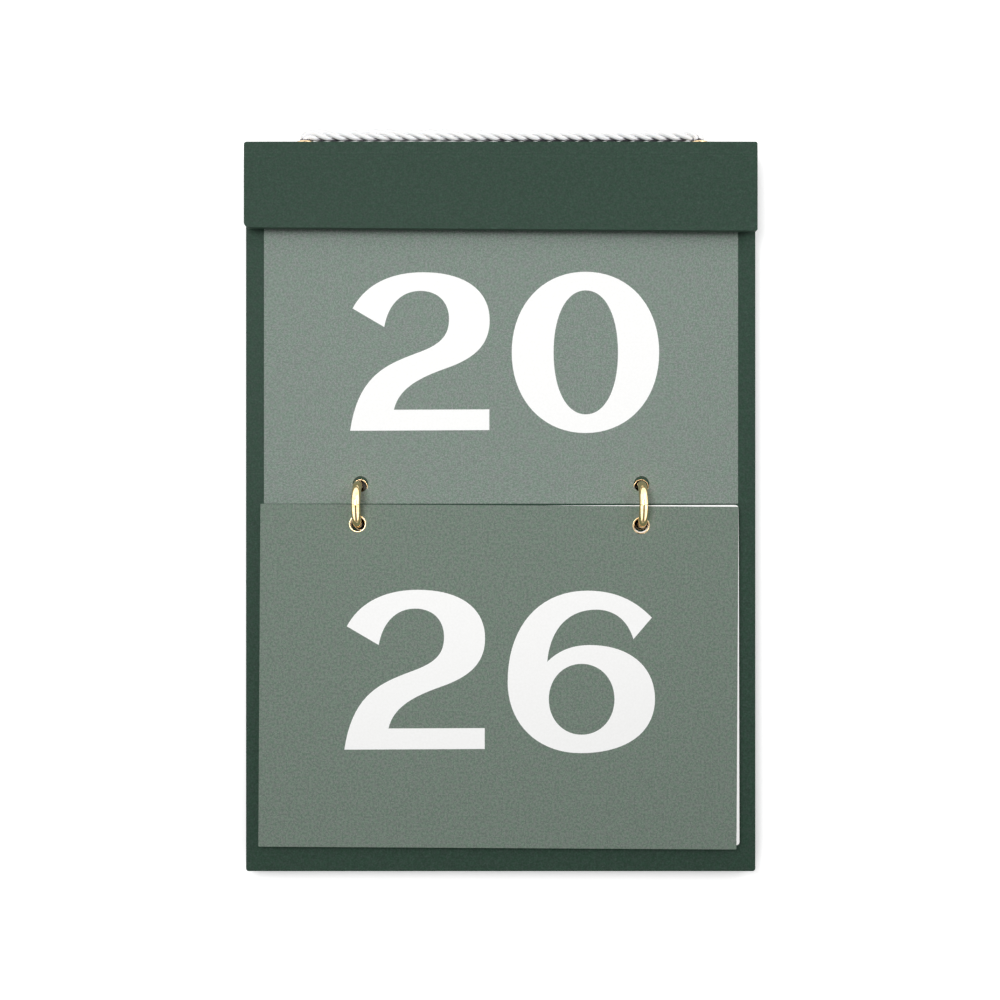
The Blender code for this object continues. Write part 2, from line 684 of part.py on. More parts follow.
def main():
    """Build the whole calendar."""
    clear_scene()
    builder = Builder()
    build_case(builder)
    build_board_eyelets(builder)
    build_spine(builder)
    build_flap(builder)
    build_rings(builder)
    build_leaves(builder)
    build_cord(builder)


main()
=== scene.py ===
"""Looks of the flip calendar: a leatherette case and flap, printed leaves, gold rings and a twisted cord.

Lengths are in metres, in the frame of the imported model: X runs to the right of the pages, Y to the calendar's
top and Z out of the pages.
"""

import calendar
import json
import logging
import math
from dataclasses import dataclass, field
from enum import Enum

import bmesh
import bpy
from mathutils import Matrix, Vector, geometry

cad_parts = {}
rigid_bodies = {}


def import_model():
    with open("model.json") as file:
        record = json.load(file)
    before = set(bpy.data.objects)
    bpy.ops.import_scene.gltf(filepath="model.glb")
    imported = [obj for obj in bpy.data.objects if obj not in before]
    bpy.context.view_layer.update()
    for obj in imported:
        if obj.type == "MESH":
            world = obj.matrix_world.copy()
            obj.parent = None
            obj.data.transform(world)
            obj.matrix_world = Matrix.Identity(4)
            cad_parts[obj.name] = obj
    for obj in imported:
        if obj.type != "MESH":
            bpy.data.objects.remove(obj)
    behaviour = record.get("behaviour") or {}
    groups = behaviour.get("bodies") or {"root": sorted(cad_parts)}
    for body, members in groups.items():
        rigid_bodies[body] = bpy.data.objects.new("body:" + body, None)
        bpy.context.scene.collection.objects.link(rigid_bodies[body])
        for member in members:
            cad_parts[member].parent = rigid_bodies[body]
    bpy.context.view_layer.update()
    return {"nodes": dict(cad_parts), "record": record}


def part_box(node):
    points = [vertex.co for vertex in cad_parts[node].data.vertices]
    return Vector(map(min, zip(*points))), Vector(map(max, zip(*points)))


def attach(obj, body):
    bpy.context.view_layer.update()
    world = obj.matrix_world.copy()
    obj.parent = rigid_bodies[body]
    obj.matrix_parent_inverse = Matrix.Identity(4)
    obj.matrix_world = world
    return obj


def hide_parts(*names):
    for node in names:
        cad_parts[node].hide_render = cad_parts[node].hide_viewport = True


LOG = logging.getLogger("flip_calendar")
MM = 0.001
RING_Y = 0.9 * MM
SMOOTH_ANGLE = math.radians(38)
WELD_DISTANCE = 1e-6
MERGE_DISTANCE = 1e-9
SAME_POINT = 1e-4
INSIDE_ONLY = 1
ARC_STEPS = 6
CURVE_STEPS = 18
FIGURE_SHARE = 0.73
FIGURE_STEPS = 2
NOISE_RANGE = (0.3, 0.7)
WEEK = 7
LONGEST_MONTH = 31
PATCH_STOPS = (0.38, 0.62)
WHITE = (1, 1, 1, 1)

Colour = tuple[float, float, float]
Triple = tuple[float, float, float]
Point = tuple[float, float]
Outline = list[Vector]
Socket = bpy.types.NodeSocket
Material = bpy.types.Material
Mesh = bpy.types.Mesh


class Place(Enum):
    """A place on the calendar, with the sign of its axis there."""

    @property
    def word(self) -> str:
        """The place's name in lower case."""
        return self.name.lower()


class Side(Place):
    """Left and right of the pages, along X."""

    LEFT = -1
    RIGHT = 1


class Half(Place):
    """Upper and lower half of a ring, along Y."""

    UPPER = 1
    LOWER = -1


class Slot(Enum):
    """Material slots of the record."""

    LEATHERETTE = "green_leatherette"
    LINING = "flap_lining"
    BOARD = "grey_board"
    WHITE_PAPER = "white_paper"
    PRINTED_PAPER = "printed_paper"
    PRINTED_CARD = "printed_card"
    GOLD = "gold_metal"
    CORD = "white_cord"


class NodeMaker:
    """Adds nodes to a tree and joins them."""

    def __init__(self, tree: bpy.types.NodeTree) -> None:
        """Keep the tree and empty it."""
        self.tree = tree
        tree.nodes.clear()

    def add(self, kind: str, inputs: dict | None = None, **settings: object) -> bpy.types.Node:
        """Add one node.

        Args:
            kind: the node's type name.
            inputs: socket names or numbers, each with a value or with the output that feeds it.
            **settings: properties of the node.

        Returns:
            The new node.
        """
        node = self.tree.nodes.new(kind)
        for name, value in settings.items():
            setattr(node, name, value)
        for key, value in (inputs or {}).items():
            self.feed(node.inputs[key], value)
        return node

    def feed(self, socket: Socket, value: object) -> None:
        """Set a socket, or link an output to it.

        Args:
            socket: the input socket.
            value: its value, or the output that feeds it.
        """
        if isinstance(value, Socket):
            self.tree.links.new(value, socket)
        else:
            socket.default_value = value

    def maths(self, operation: str, *values: object) -> Socket:
        """Work out one number from numbers or outputs, by a math node's operation."""
        return self.add("ShaderNodeMath", dict(enumerate(values)), operation=operation).outputs[0]


class Shader(NodeMaker):
    """A Principled material under construction."""

    def __init__(self, name: str) -> None:
        """Start the material.

        Args:
            name: the material's name.
        """
        self.material = bpy.data.materials.new(name)
        self.material.use_nodes = True
        super().__init__(self.material.node_tree)
        self.surface = self.add("ShaderNodeBsdfPrincipled")
        output = self.add("ShaderNodeOutputMaterial")
        self.feed(output.inputs["Surface"], self.surface.outputs[0])
        self.place = self.add("ShaderNodeTexCoord").outputs["Object"]

    def set(self, **sockets: object) -> None:
        """Set sockets of the surface, underscores standing for spaces."""
        for name, value in sockets.items():
            self.feed(self.surface.inputs[name.replace("_", " ")], value)

    def noise(
        self, size: float, detail: float = 2, stretch: Triple = (1, 1, 1), flat: bool = False
    ) -> Socket:
        """Noise whose blotches are about as large as a length.

        Args:
            size: the blotches' size in metres.
            detail: octaves.
            stretch: factors along X, Y and Z.
            flat: whether the noise is the same at every height, as suits a sheet.

        Returns:
            The noise's socket, from 0 to 1.
        """
        place = self.place
        if stretch != (1, 1, 1):
            place = self.add("ShaderNodeMapping", {"Vector": self.place, "Scale": stretch}).outputs[0]
        inputs = {"Vector": place, "Scale": 1 / size, "Detail": detail}
        return self.add("ShaderNodeTexNoise", inputs, noise_dimensions="2D" if flat else "3D").outputs[0]

    def cells(self, size: float) -> Socket:
        """Soft distances within cells about as large as a length in metres."""
        inputs = {"Vector": self.place, "Scale": 1 / size}
        return self.add("ShaderNodeTexVoronoi", inputs, feature="SMOOTH_F1").outputs["Distance"]

    def attribute(self, name: str) -> Socket:
        """A number that the mesh keeps."""
        return self.add("ShaderNodeAttribute", attribute_name=name).outputs["Fac"]

    def layered(self, fine: Socket, coarse: Socket, share: float) -> Socket:
        """Mix fine noise with a share of coarse noise."""
        return self.maths("MULTIPLY_ADD", fine, 1 - share, self.maths("MULTIPLY", coarse, share))

    def ramp(self, value: Socket, stops: tuple[float, ...], *colours: Colour) -> Socket:
        """Turn a number into a colour.

        Args:
            value: the number's socket.
            stops: rising places from 0 to 1.
            *colours: the colour at each place.

        Returns:
            The colour's socket.
        """
        node = self.add("ShaderNodeValToRGB", {"Fac": value})
        elements = node.color_ramp.elements
        while len(elements) < len(stops):
            elements.new(0.5)
        for element, place, colour in zip(elements, stops, colours):
            element.position = place
            element.color = (*colour, 1)
        return node.outputs[0]

    def between(self, value: Socket, start: float, end: float, low: float, high: float) -> Socket:
        """Map a value between start and end to a number between low and high."""
        inputs = {"Value": value, "From Min": start, "From Max": end, "To Min": low, "To Max": high}
        return self.add("ShaderNodeMapRange", inputs).outputs[0]

    def spread(self, value: Socket, low: float, high: float) -> Socket:
        """Map the usual range of noise to two numbers."""
        return self.between(value, *NOISE_RANGE, low, high)

    def tinted(self, base: Socket, size: float, tints: tuple[Colour, Colour]) -> Socket:
        """Vary a colour in soft patches.

        Args:
            base: the colour's socket.
            size: the patches' size in metres.
            tints: the factors of the two kinds of patch.

        Returns:
            The varied colour's socket.
        """
        patches = self.ramp(self.noise(size, detail=3), PATCH_STOPS, *tints)
        inputs = {"Factor": 1.0, "A": base, "B": patches}
        mixed = self.add("ShaderNodeMix", inputs, data_type="RGBA", blend_type="MULTIPLY")
        return mixed.outputs["Result"]

    def bump(self, height: Socket, strength: float, distance: float) -> None:
        """Raise the surface by a height, over any earlier one.

        Args:
            height: the height's socket.
            strength: from 0 to 1.
            distance: the height of 1, in metres.
        """
        inputs = {"Height": height, "Strength": strength, "Distance": distance}
        node = self.add("ShaderNodeBump", inputs)
        normal = self.surface.inputs["Normal"]
        if normal.is_linked:
            self.feed(node.inputs["Normal"], normal.links[0].from_socket)
        self.feed(normal, node.outputs[0])


@dataclass(frozen=True)
class Leatherette:
    """Fine-grained leatherette with a satin skin, with a painted highlight where it is pulled round an edge or
    a crease.

    Sizes without a unit are in grains, and each bump is a strength and a height.
    """

    name: str
    dark: Colour
    light: Colour
    # pale colour of the painted highlight on rounded edges and creases
    rubbed: Colour
    roughness: float
    grain: float = 0.34 * MM
    mottle: float = 1.6 * MM
    patch: float = 1.1 * MM
    tints: tuple[Colour, Colour] = ((0.89, 1.0, 0.94), (1.0, 0.93, 0.97))
    mottle_share: float = 0.3
    speck: float = 1.5
    rub_share: float = 0.33
    stops: Triple = (0.38, 0.62, 0.95)
    unevenness: Point = (-0.05, 0.06)
    ior: float = 1.46
    specular: float = 0.12
    pore_bump: Point = (0.35, 0.03 * MM)
    wrinkle: float = 2.5
    wrinkle_bump: Point = (0.2, 0.05 * MM)

    def material(self) -> Material:
        """Make the finish.

        Returns:
            Its material.
        """
        shader = Shader(self.name)
        specks = shader.noise(self.grain * self.speck)
        shade = shader.layered(specks, shader.noise(self.mottle, detail=4), self.mottle_share)
        # painted highlight: the shade is raised towards the pale highlight colour on faces marked as rounded
        # edges or creases
        shade = shader.maths("MULTIPLY_ADD", shader.attribute("rub"), self.rub_share, shade)
        base = shader.ramp(shade, self.stops, self.dark, self.light, self.rubbed)
        shader.set(Base_Color=shader.tinted(base, self.patch, self.tints))
        limits = (self.roughness + change for change in self.unevenness)
        shader.set(Roughness=shader.spread(shader.noise(self.mottle), *limits))
        shader.set(IOR=self.ior, Specular_IOR_Level=self.specular)
        shader.bump(shader.cells(self.grain), *self.pore_bump)
        shader.bump(shader.noise(self.grain * self.wrinkle, detail=3), *self.wrinkle_bump)
        return shader.material


@dataclass(frozen=True)
class Paper:
    """Uncoated paper, bare or printed, with its fibres and flecks, whose sizes are in grains."""

    name: str
    dark: Colour
    light: Colour
    fleck: Colour
    fleck_share: float
    grain: float = 0.42 * MM
    patch: float = 1.15 * MM
    tints: tuple[Colour, Colour] = ((1.0, 1.0, 1.0), (1.0, 1.0, 1.0))
    cloud: float = 7.0
    cloud_share: float = 0.12
    fibre: float = 1.6
    speck: float = 0.8
    tooth: float = 0.7
    stops: Point = (0.36, 0.64)
    roughness: Point = (0.72, 0.84)
    ior: float = 1.4
    specular: float = 0.15
    tooth_bump: Point = (0.25, 0.02 * MM)

    def material(self) -> Material:
        """Make the finish.

        Returns:
            Its material.
        """
        shader = Shader(self.name)
        clouds = shader.noise(self.grain * self.cloud, flat=True)
        fibres = shader.noise(self.grain * self.fibre, detail=3, flat=True)
        shade = shader.layered(fibres, clouds, self.cloud_share)
        base = shader.ramp(shade, self.stops, self.dark, self.light)
        specks = shader.noise(self.grain * self.speck, flat=True)
        flecks = shader.maths("GREATER_THAN", specks, 1 - self.fleck_share)
        inputs = {"Factor": flecks, "A": base, "B": (*self.fleck, 1)}
        mixed = shader.add("ShaderNodeMix", inputs, data_type="RGBA")
        colour = shader.tinted(mixed.outputs["Result"], self.patch, self.tints)
        shader.set(Base_Color=colour, Roughness=shader.spread(shade, *self.roughness))
        shader.set(IOR=self.ior, Specular_IOR_Level=self.specular)
        shader.bump(shader.noise(self.grain * self.tooth, detail=3), *self.tooth_bump)
        return shader.material


@dataclass(frozen=True)
class Gold:
    """Polished gold plating with faint rubbing marks."""

    name: str
    deep: Colour
    bright: Colour
    roughness: float
    cloud: float = 1.1 * MM
    mark: float = 0.25 * MM
    mark_stretch: Triple = (1, 0.12, 0.12)
    stops: Point = (0.3, 0.7)
    wear: Point = (0.7, 1.5)
    mark_bump: Point = (0.05, 0.01 * MM)

    def material(self) -> Material:
        """Make the finish.

        Returns:
            Its material.
        """
        shader = Shader(self.name)
        clouds = shader.noise(self.cloud, detail=3)
        marks = shader.noise(self.mark, detail=3, stretch=self.mark_stretch)
        shader.set(Base_Color=shader.ramp(clouds, self.stops, self.deep, self.bright), Metallic=1.0)
        limits = (self.roughness * factor for factor in self.wear)
        shader.set(Roughness=shader.spread(marks, *limits))
        shader.bump(marks, *self.mark_bump)
        return shader.material


@dataclass(frozen=True)
class TwistedYarn:
    """Silky white cord yarn, with painted shade between its strands and between its threads, and a painted
    shadow close to the spine.
    """

    name: str
    # colours of the painted shade, from the painted shadow by the spine to the lit crest
    deep: Colour
    groove: Colour
    shade: Colour
    light: Colour
    stops: tuple[float, ...] = (0.42, 0.57, 0.65, 0.76)
    hidden_y: float = 106.1 * MM
    shadow_y: float = 107 * MM
    open_y: float = 109.6 * MM
    shadow_shift: Point = (-0.38, 0)
    open_shift: Point = (-0.06, 0.14)
    fibre: float = 0.12 * MM
    fibre_bump: Point = (0.2, 0.03 * MM)
    rib: float = 0.06
    roughness: Point = (0.5, 0.68)
    sheen: float = 0.25
    sheen_roughness: float = 0.35
    glow: float = 0.12
    glow_reach: Triple = (0.4 * MM, 0.35 * MM, 0.3 * MM)

    def material(self) -> Material:
        """Make the finish.

        Returns:
            Its material.
        """
        shader = Shader(self.name)
        y = shader.add("ShaderNodeSeparateXYZ", {0: shader.place}).outputs["Y"]
        # painted shade by height: darker towards the spine, with a painted shadow band in the lowest part by
        # the flap's edge
        open_air = shader.between(y, self.hidden_y, self.open_y, *self.open_shift)
        shadow = shader.between(y, self.hidden_y, self.shadow_y, *self.shadow_shift)
        fuzz = shader.noise(self.fibre, detail=3)
        threads = shader.maths("ADD", shader.attribute("thread"), fuzz)
        ribs = shader.maths("MULTIPLY_ADD", threads, self.rib, -self.rib)
        # the value that picks the painted shade: low between strands, between threads and near the spine
        depth = shader.attribute("reach")
        for change in (ribs, open_air, shadow):
            depth = shader.maths("ADD", depth, change)
        colours = (self.deep, self.groove, self.shade, self.light)
        shader.set(Base_Color=shader.ramp(depth, self.stops, *colours))
        shader.set(Roughness=shader.spread(fuzz, *self.roughness))
        shader.set(Sheen_Weight=self.sheen, Sheen_Roughness=self.sheen_roughness)
        shader.set(Subsurface_Weight=self.glow, Subsurface_Radius=self.glow_reach)
        shader.bump(fuzz, *self.fibre_bump)
        return shader.material


@dataclass(frozen=True)
class GreyBoard:
    """Raw grey board with recycled flecks."""

    name: str
    dark: Colour
    light: Colour
    pulp: float = 0.6 * MM
    tooth: float = 0.3 * MM
    stops: Point = (0.3, 0.62)
    roughness: Point = (0.85, 0.95)
    tooth_bump: Point = (0.4, 0.05 * MM)

    def material(self) -> Material:
        """Make the finish.

        Returns:
            Its material.
        """
        shader = Shader(self.name)
        shade = shader.noise(self.pulp, detail=5)
        shader.set(Base_Color=shader.ramp(shade, self.stops, self.dark, self.light))
        shader.set(Roughness=shader.spread(shade, *self.roughness))
        shader.bump(shader.noise(self.tooth, detail=4), *self.tooth_bump)
        return shader.material


class Finishes:
    """Every finish of the calendar, made once."""

    def __init__(self) -> None:
        """Make the materials."""
        # pale colour of the painted highlight on the leatherette's rounded edges and creases
        rubbed = (0.07, 0.125, 0.092)
        print_tints = ((0.93, 1.0, 0.95), (1.0, 0.94, 0.985))
        green = Leatherette(
            name="green_leatherette",
            dark=(0.0222, 0.0472, 0.0318),
            light=(0.0378, 0.0663, 0.0506),
            rubbed=rubbed,
            roughness=0.56,
        )
        lining = Leatherette(
            name="lining_cloth",
            dark=(0.0254, 0.0487, 0.0356),
            light=(0.0339, 0.0622, 0.0461),
            rubbed=rubbed,
            roughness=0.75,
            grain=0.5 * MM,
        )
        white = Paper(
            name="white_paper",
            dark=(0.945, 0.945, 0.935),
            light=(0.97, 0.97, 0.962),
            fleck=(0.925, 0.922, 0.912),
            fleck_share=0.3,
        )
        printed = Paper(
            name="printed_paper",
            dark=(0.17, 0.2205, 0.1876),
            light=(0.2565, 0.3006, 0.2713),
            fleck=(0.3095, 0.3482, 0.3215),
            fleck_share=0.36,
            grain=0.36 * MM,
            tints=print_tints,
        )
        card = Paper(
            name="printed_card",
            dark=(0.14, 0.1875, 0.152),
            light=(0.198, 0.243, 0.2075),
            fleck=(0.239, 0.2835, 0.2475),
            fleck_share=0.36,
            tints=print_tints,
        )
        ink = Paper(
            name="dark_ink",
            dark=(0.05, 0.066, 0.055),
            light=(0.066, 0.083, 0.07),
            fleck=(0.08, 0.1, 0.085),
            fleck_share=0.3,
        )
        gold = Gold("gold_plating", deep=(0.80, 0.55, 0.25), bright=(0.94, 0.76, 0.46), roughness=0.07)
        # copy of the gold for the eyelets: its satin roughness is real, its darker base colour is painted shade
        # that dims the lamp's reflection
        satin = Gold("satin_gold", deep=(0.56, 0.4, 0.22), bright=(0.68, 0.53, 0.34), roughness=0.24)
        # the yarn's deep, groove and shade colours are painted shade and shadow; only light is the cord's own
        # white
        yarn = TwistedYarn(
            name="white_yarn",
            deep=(0.035, 0.042, 0.038),
            groove=(0.07, 0.056, 0.075),
            shade=(0.84, 0.83, 0.85),
            light=(0.98, 0.98, 0.98),
        )
        board = GreyBoard("grey_board", dark=(0.24, 0.225, 0.2), light=(0.36, 0.34, 0.31))
        self.ink = ink.material()
        self.satin_gold = satin.material()
        self.by_slot = {
            Slot.LEATHERETTE: green.material(),
            Slot.LINING: lining.material(),
            Slot.BOARD: board.material(),
            Slot.WHITE_PAPER: white.material(),
            Slot.PRINTED_PAPER: printed.material(),
            Slot.PRINTED_CARD: card.material(),
            Slot.GOLD: gold.material(),
            Slot.CORD: yarn.material(),
        }

    def __getitem__(self, slot: Slot) -> Material:
        """The material of a slot."""
        return self.by_slot[slot]


def clear_scene() -> None:
    """Remove whatever the scene holds at its start."""
    for found in list(bpy.data.objects):
        bpy.data.objects.remove(found, do_unlink=True)


def new_object(name: str, data: bpy.types.ID) -> bpy.types.Object:
    """Link new data into the scene.

    Args:
        name: the object's name.
        data: a mesh, curve, light or camera.

    Returns:
        The object.
    """
    made = bpy.data.objects.new(name, data)
    bpy.context.scene.collection.objects.link(made)
    return made


def baked_mesh(holder: bpy.types.Object) -> Mesh:
    """Turn an object with its modifiers into a plain mesh, and remove the object and what is parented to it.

    Args:
        holder: the object.

    Returns:
        The mesh.
    """
    graph = bpy.context.evaluated_depsgraph_get()
    mesh = bpy.data.meshes.new_from_object(holder.evaluated_get(graph))
    for spent in [*holder.children, holder]:
        bpy.data.objects.remove(spent, do_unlink=True)
    return mesh


def mesh_of(shape: bmesh.types.BMesh, name: str) -> Mesh:
    """Turn a shape under construction into a mesh.

    Args:
        shape: the shape, which is freed.
        name: the mesh's name.

    Returns:
        The mesh.
    """
    mesh = bpy.data.meshes.new(name)
    shape.to_mesh(mesh)
    shape.free()
    return mesh


def weld(mesh: Mesh) -> Mesh:
    """Join loose caps to their walls and turn every face outwards.

    Args:
        mesh: the mesh, which is changed.

    Returns:
        The same mesh.
    """
    shape = bmesh.new()
    shape.from_mesh(mesh)
    bmesh.ops.remove_doubles(shape, verts=shape.verts, dist=WELD_DISTANCE)
    bmesh.ops.recalc_face_normals(shape, faces=shape.faces)
    shape.to_mesh(mesh)
    shape.free()
    return mesh


def smooth(mesh: Mesh) -> Mesh:
    """Shade a mesh smooth, apart from its sharp edges.

    Args:
        mesh: the mesh, which is changed.

    Returns:
        The same mesh.
    """
    mesh.shade_smooth()
    mesh.set_sharp_from_angle(angle=SMOOTH_ANGLE)
    return mesh


def cylinder(radius: float, start: Vector, end: Vector, steps: int = 40) -> Mesh:
    """A round bar.

    Args:
        radius: its radius.
        start: the middle of one end.
        end: the middle of the other.
        steps: sides.

    Returns:
        The mesh.
    """
    turn = (end - start).to_track_quat("Z", "Y").to_matrix().to_4x4()
    shape = bmesh.new()
    bmesh.ops.create_cone(
        shape,
        cap_ends=True,
        segments=steps,
        radius1=radius,
        radius2=radius,
        depth=(end - start).length,
        matrix=Matrix.Translation((start + end) / 2) @ turn,
    )
    return mesh_of(shape, "bar")


def tube(points: list[Vector], radius: float, resolution: int) -> Mesh:
    """A round wire with closed ends.

    Args:
        points: places along its middle.
        radius: its radius.
        resolution: how finely it is rounded.

    Returns:
        The mesh.
    """
    curve = line_curve("wire", points)
    curve.bevel_depth = radius
    curve.bevel_resolution = resolution
    curve.use_fill_caps = True
    return weld(baked_mesh(new_object("wire", curve)))


def line_curve(name: str, points: list[Vector]) -> bpy.types.Curve:
    """A curve of straight runs through points.

    Args:
        name: the curve's name.
        points: the points.

    Returns:
        The curve.
    """
    curve = bpy.data.curves.new(name, "CURVE")
    curve.dimensions = "3D"
    spline = curve.splines.new("POLY")
    spline.points.add(len(points) - 1)
    for point, place in zip(spline.points, points):
        point.co = (*place, 1)
    return curve


def arc(centre: Point, radius: float, start: float, end: float, steps: int = ARC_STEPS) -> list[Point]:
    """Points along an arc between two angles in degrees, both ends included."""
    turns = [math.radians(start + (end - start) * i / steps) for i in range(steps + 1)]
    return [(centre[0] + radius * math.cos(a), centre[1] + radius * math.sin(a)) for a in turns]


def turned(profile: list[Point], steps: int = 72) -> Mesh:
    """Spin a closed section of radius and height about Z.

    Args:
        profile: the section's points.
        steps: how many stretches round.

    Returns:
        The mesh.
    """
    shape = bmesh.new()
    verts = [shape.verts.new((radius, 0, height)) for radius, height in profile]
    edges = [shape.edges.new((a, b)) for a, b in zip(verts, [*verts[1:], verts[0]])]
    bmesh.ops.spin(
        shape,
        geom=[*verts, *edges],
        cent=(0, 0, 0),
        axis=(0, 0, 1),
        angle=math.tau,
        steps=steps,
        use_merge=True,
    )
    return smooth(weld(mesh_of(shape, "turned")))


def rounded_box(left: float, right: float, bottom: float, top: float, radius: float) -> list[Point]:
    """A rectangle's outline with round corners, anticlockwise from the lower left.

    Args:
        left: its left side.
        right: its right side.
        bottom: its lower side.
        top: its upper side.
        radius: its corners' radius.

    Returns:
        The points.
    """
    corners = (
        ((left + radius, bottom + radius), 180),
        ((right - radius, bottom + radius), 270),
        ((right - radius, top - radius), 0),
        ((left + radius, top - radius), 90),
    )
    return [point for centre, start in corners for point in arc(centre, radius, start, start + 90)]


class Dresser:
    """Makes finished pieces and hands them to the frame."""

    def __init__(self, finishes: Finishes) -> None:
        """Keep the calendar's materials."""
        self.finishes = finishes

    def piece(self, name: str, mesh: Mesh, slot: Slot, body: str, *nodes: str) -> bpy.types.Object:
        """Finish one piece.

        Args:
            name: the piece's name.
            mesh: its mesh, in its place.
            slot: the finish that it takes, unless the mesh has its own.
            body: the body that it rides on.
            *nodes: the solids that it stands for.

        Returns:
            The piece.
        """
        if not mesh.materials:
            mesh.materials.append(self.finishes[slot])
        mesh.name = name
        made = new_object(name, mesh)
        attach(made, body)
        if nodes:
            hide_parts(*nodes)
        LOG.info("%s on %s: %d faces", name, body, len(mesh.polygons))
        return made


class Pen:
    """Draws an outline of lines and Bezier curves, in millimetres."""

    def __init__(self, x: float, y: float) -> None:
        """Set the pen down."""
        self.points = [Vector((x, y))]

    def line(self, *corners: Point) -> "Pen":
        """Draw straight to each corner in turn."""
        self.points += [Vector(corner) for corner in corners]
        return self

    def curve(self, first: Point, second: Point, end: Point) -> "Pen":
        """Draw a Bezier curve.

        Args:
            first: the handle at its start.
            second: the handle at its end.
            end: its end.

        Returns:
            The pen.
        """
        ends = (self.points[-1], Vector(first), Vector(second), Vector(end))
        self.points += geometry.interpolate_bezier(*ends, CURVE_STEPS + 1)[1:]
        return self

    def closed(self) -> Outline:
        """Lift the pen.

        Returns:
            The outline, without a last point on its first.
        """
        if (self.points[-1] - self.points[0]).length < SAME_POINT:
            self.points.pop()
        return self.points


def oval(centre: Point, half_width: float, half_height: float, fullness: float) -> Outline:
    """An oval of four Bezier curves.

    Args:
        centre: its centre.
        half_width: half its width.
        half_height: half its height.
        fullness: the handles' share of each half, 0.55 for an ellipse.

    Returns:
        Its outline.
    """
    x, y = centre
    w, h = half_width, half_height
    a, b = w * fullness, h * fullness
    pen = Pen(x + w, y)
    pen.curve((x + w, y + b), (x + a, y + h), (x, y + h))
    pen.curve((x - a, y + h), (x - w, y + b), (x - w, y))
    pen.curve((x - w, y - b), (x - a, y - h), (x, y - h))
    pen.curve((x + a, y - h), (x + w, y - b), (x + w, y))
    return pen.closed()


def numeral_two() -> tuple[Outline, ...]:
    """A flared numeral two.

    Returns:
        Its outline, in millimetres from its lower left corner.
    """
    pen = Pen(0, 0)
    pen.line((40.4, 0.2), (40.4, 6.2), (12.7, 6.1))
    pen.curve((14.2, 12.6), (20.6, 15.6), (28.3, 18.3))
    pen.curve((36.2, 21.1), (40.5, 25.0), (40.5, 32.1))
    pen.curve((40.5, 40.8), (33.3, 46.0), (21.2, 46.0))
    pen.curve((11.6, 46.0), (4.4, 42.4), (0.7, 35.5))
    pen.line((9.9, 30.1))
    pen.curve((11.0, 36.6), (14.9, 40.6), (20.4, 40.6))
    pen.curve((25.5, 40.6), (28.7, 37.3), (28.7, 32.4))
    pen.curve((28.7, 27.4), (25.9, 25.0), (20.3, 22.9))
    pen.curve((11.0, 19.4), (2.4, 16.6), (0, 0))
    return (pen.closed(),)


def numeral_nought() -> tuple[Outline, ...]:
    """A numeral nought and its counter, in millimetres from the baseline under its left side."""
    return oval((21.4, 22.9), 21.4, 23.4, 0.585), oval((21.5, 22.9), 9.35, 18.0, 0.6)


def numeral_six() -> tuple[Outline, ...]:
    """A flared numeral six.

    Returns:
        Its outline and its counter, in millimetres from the baseline under its left side.
    """
    pen = Pen(41.5, 38.0)
    pen.curve((36.3, 43.4), (30.4, 45.75), (22.9, 45.75))
    pen.curve((8.8, 45.75), (0, 35.2), (0, 19.5))
    pen.curve((0, 7.4), (8.6, -1.0), (21.0, -1.0))
    pen.curve((34.2, -1.0), (42.4, 4.9), (42.4, 14.6))
    pen.curve((42.4, 23.8), (35.2, 30.1), (23.7, 30.1))
    pen.curve((18.6, 30.1), (14.6, 28.5), (11.4, 25.3))
    pen.curve((12.2, 34.6), (17.3, 40.3), (25.5, 40.3))
    pen.curve((30.6, 40.3), (34.5, 37.4), (36.2, 31.8))
    return pen.closed(), oval((21.3, 14.5), 9.45, 10.2, 0.57)


def moved(outlines: list[Outline], place: Point) -> list[Outline]:
    """Outlines moved to a place."""
    return [[point + Vector(place) for point in outline] for outline in outlines]


def set_at(outlines: tuple[Outline, ...], place: Point) -> list[Outline]:
    """Outlines in millimetres, set at a place in metres."""
    return moved([[point * MM for point in outline] for outline in outlines], place)


def figures(digits: str, height: float) -> list[Outline]:
    """Plain figures in the built-in face, centred over the origin.

    Args:
        digits: what to write.
        height: how tall a figure is.

    Returns:
        The outlines, each anticlockwise.
    """
    curve = bpy.data.curves.new("figures", "FONT")
    curve.body = digits
    curve.size = height / FIGURE_SHARE
    curve.align_x = "CENTER"
    curve.resolution_u = FIGURE_STEPS
    shape = bmesh.new()
    shape.from_mesh(baked_mesh(new_object("figures", curve)))
    bmesh.ops.remove_doubles(shape, verts=shape.verts, dist=WELD_DISTANCE)
    loops = [edge.link_loops[0] for edge in shape.edges if edge.is_boundary]
    onward = {loop.vert: loop.link_loop_next.vert for loop in loops}
    found = []
    while onward:
        vert, after = onward.popitem()
        outline = [vert.co.xy]
        while after in onward:
            outline.append(after.co.xy)
            after = onward.pop(after)
        if sum(a.cross(b) for a, b in zip(outline, [*outline[1:], outline[0]])) < 0:
            outline.reverse()
        found.append(outline)
    shape.free()
    return found


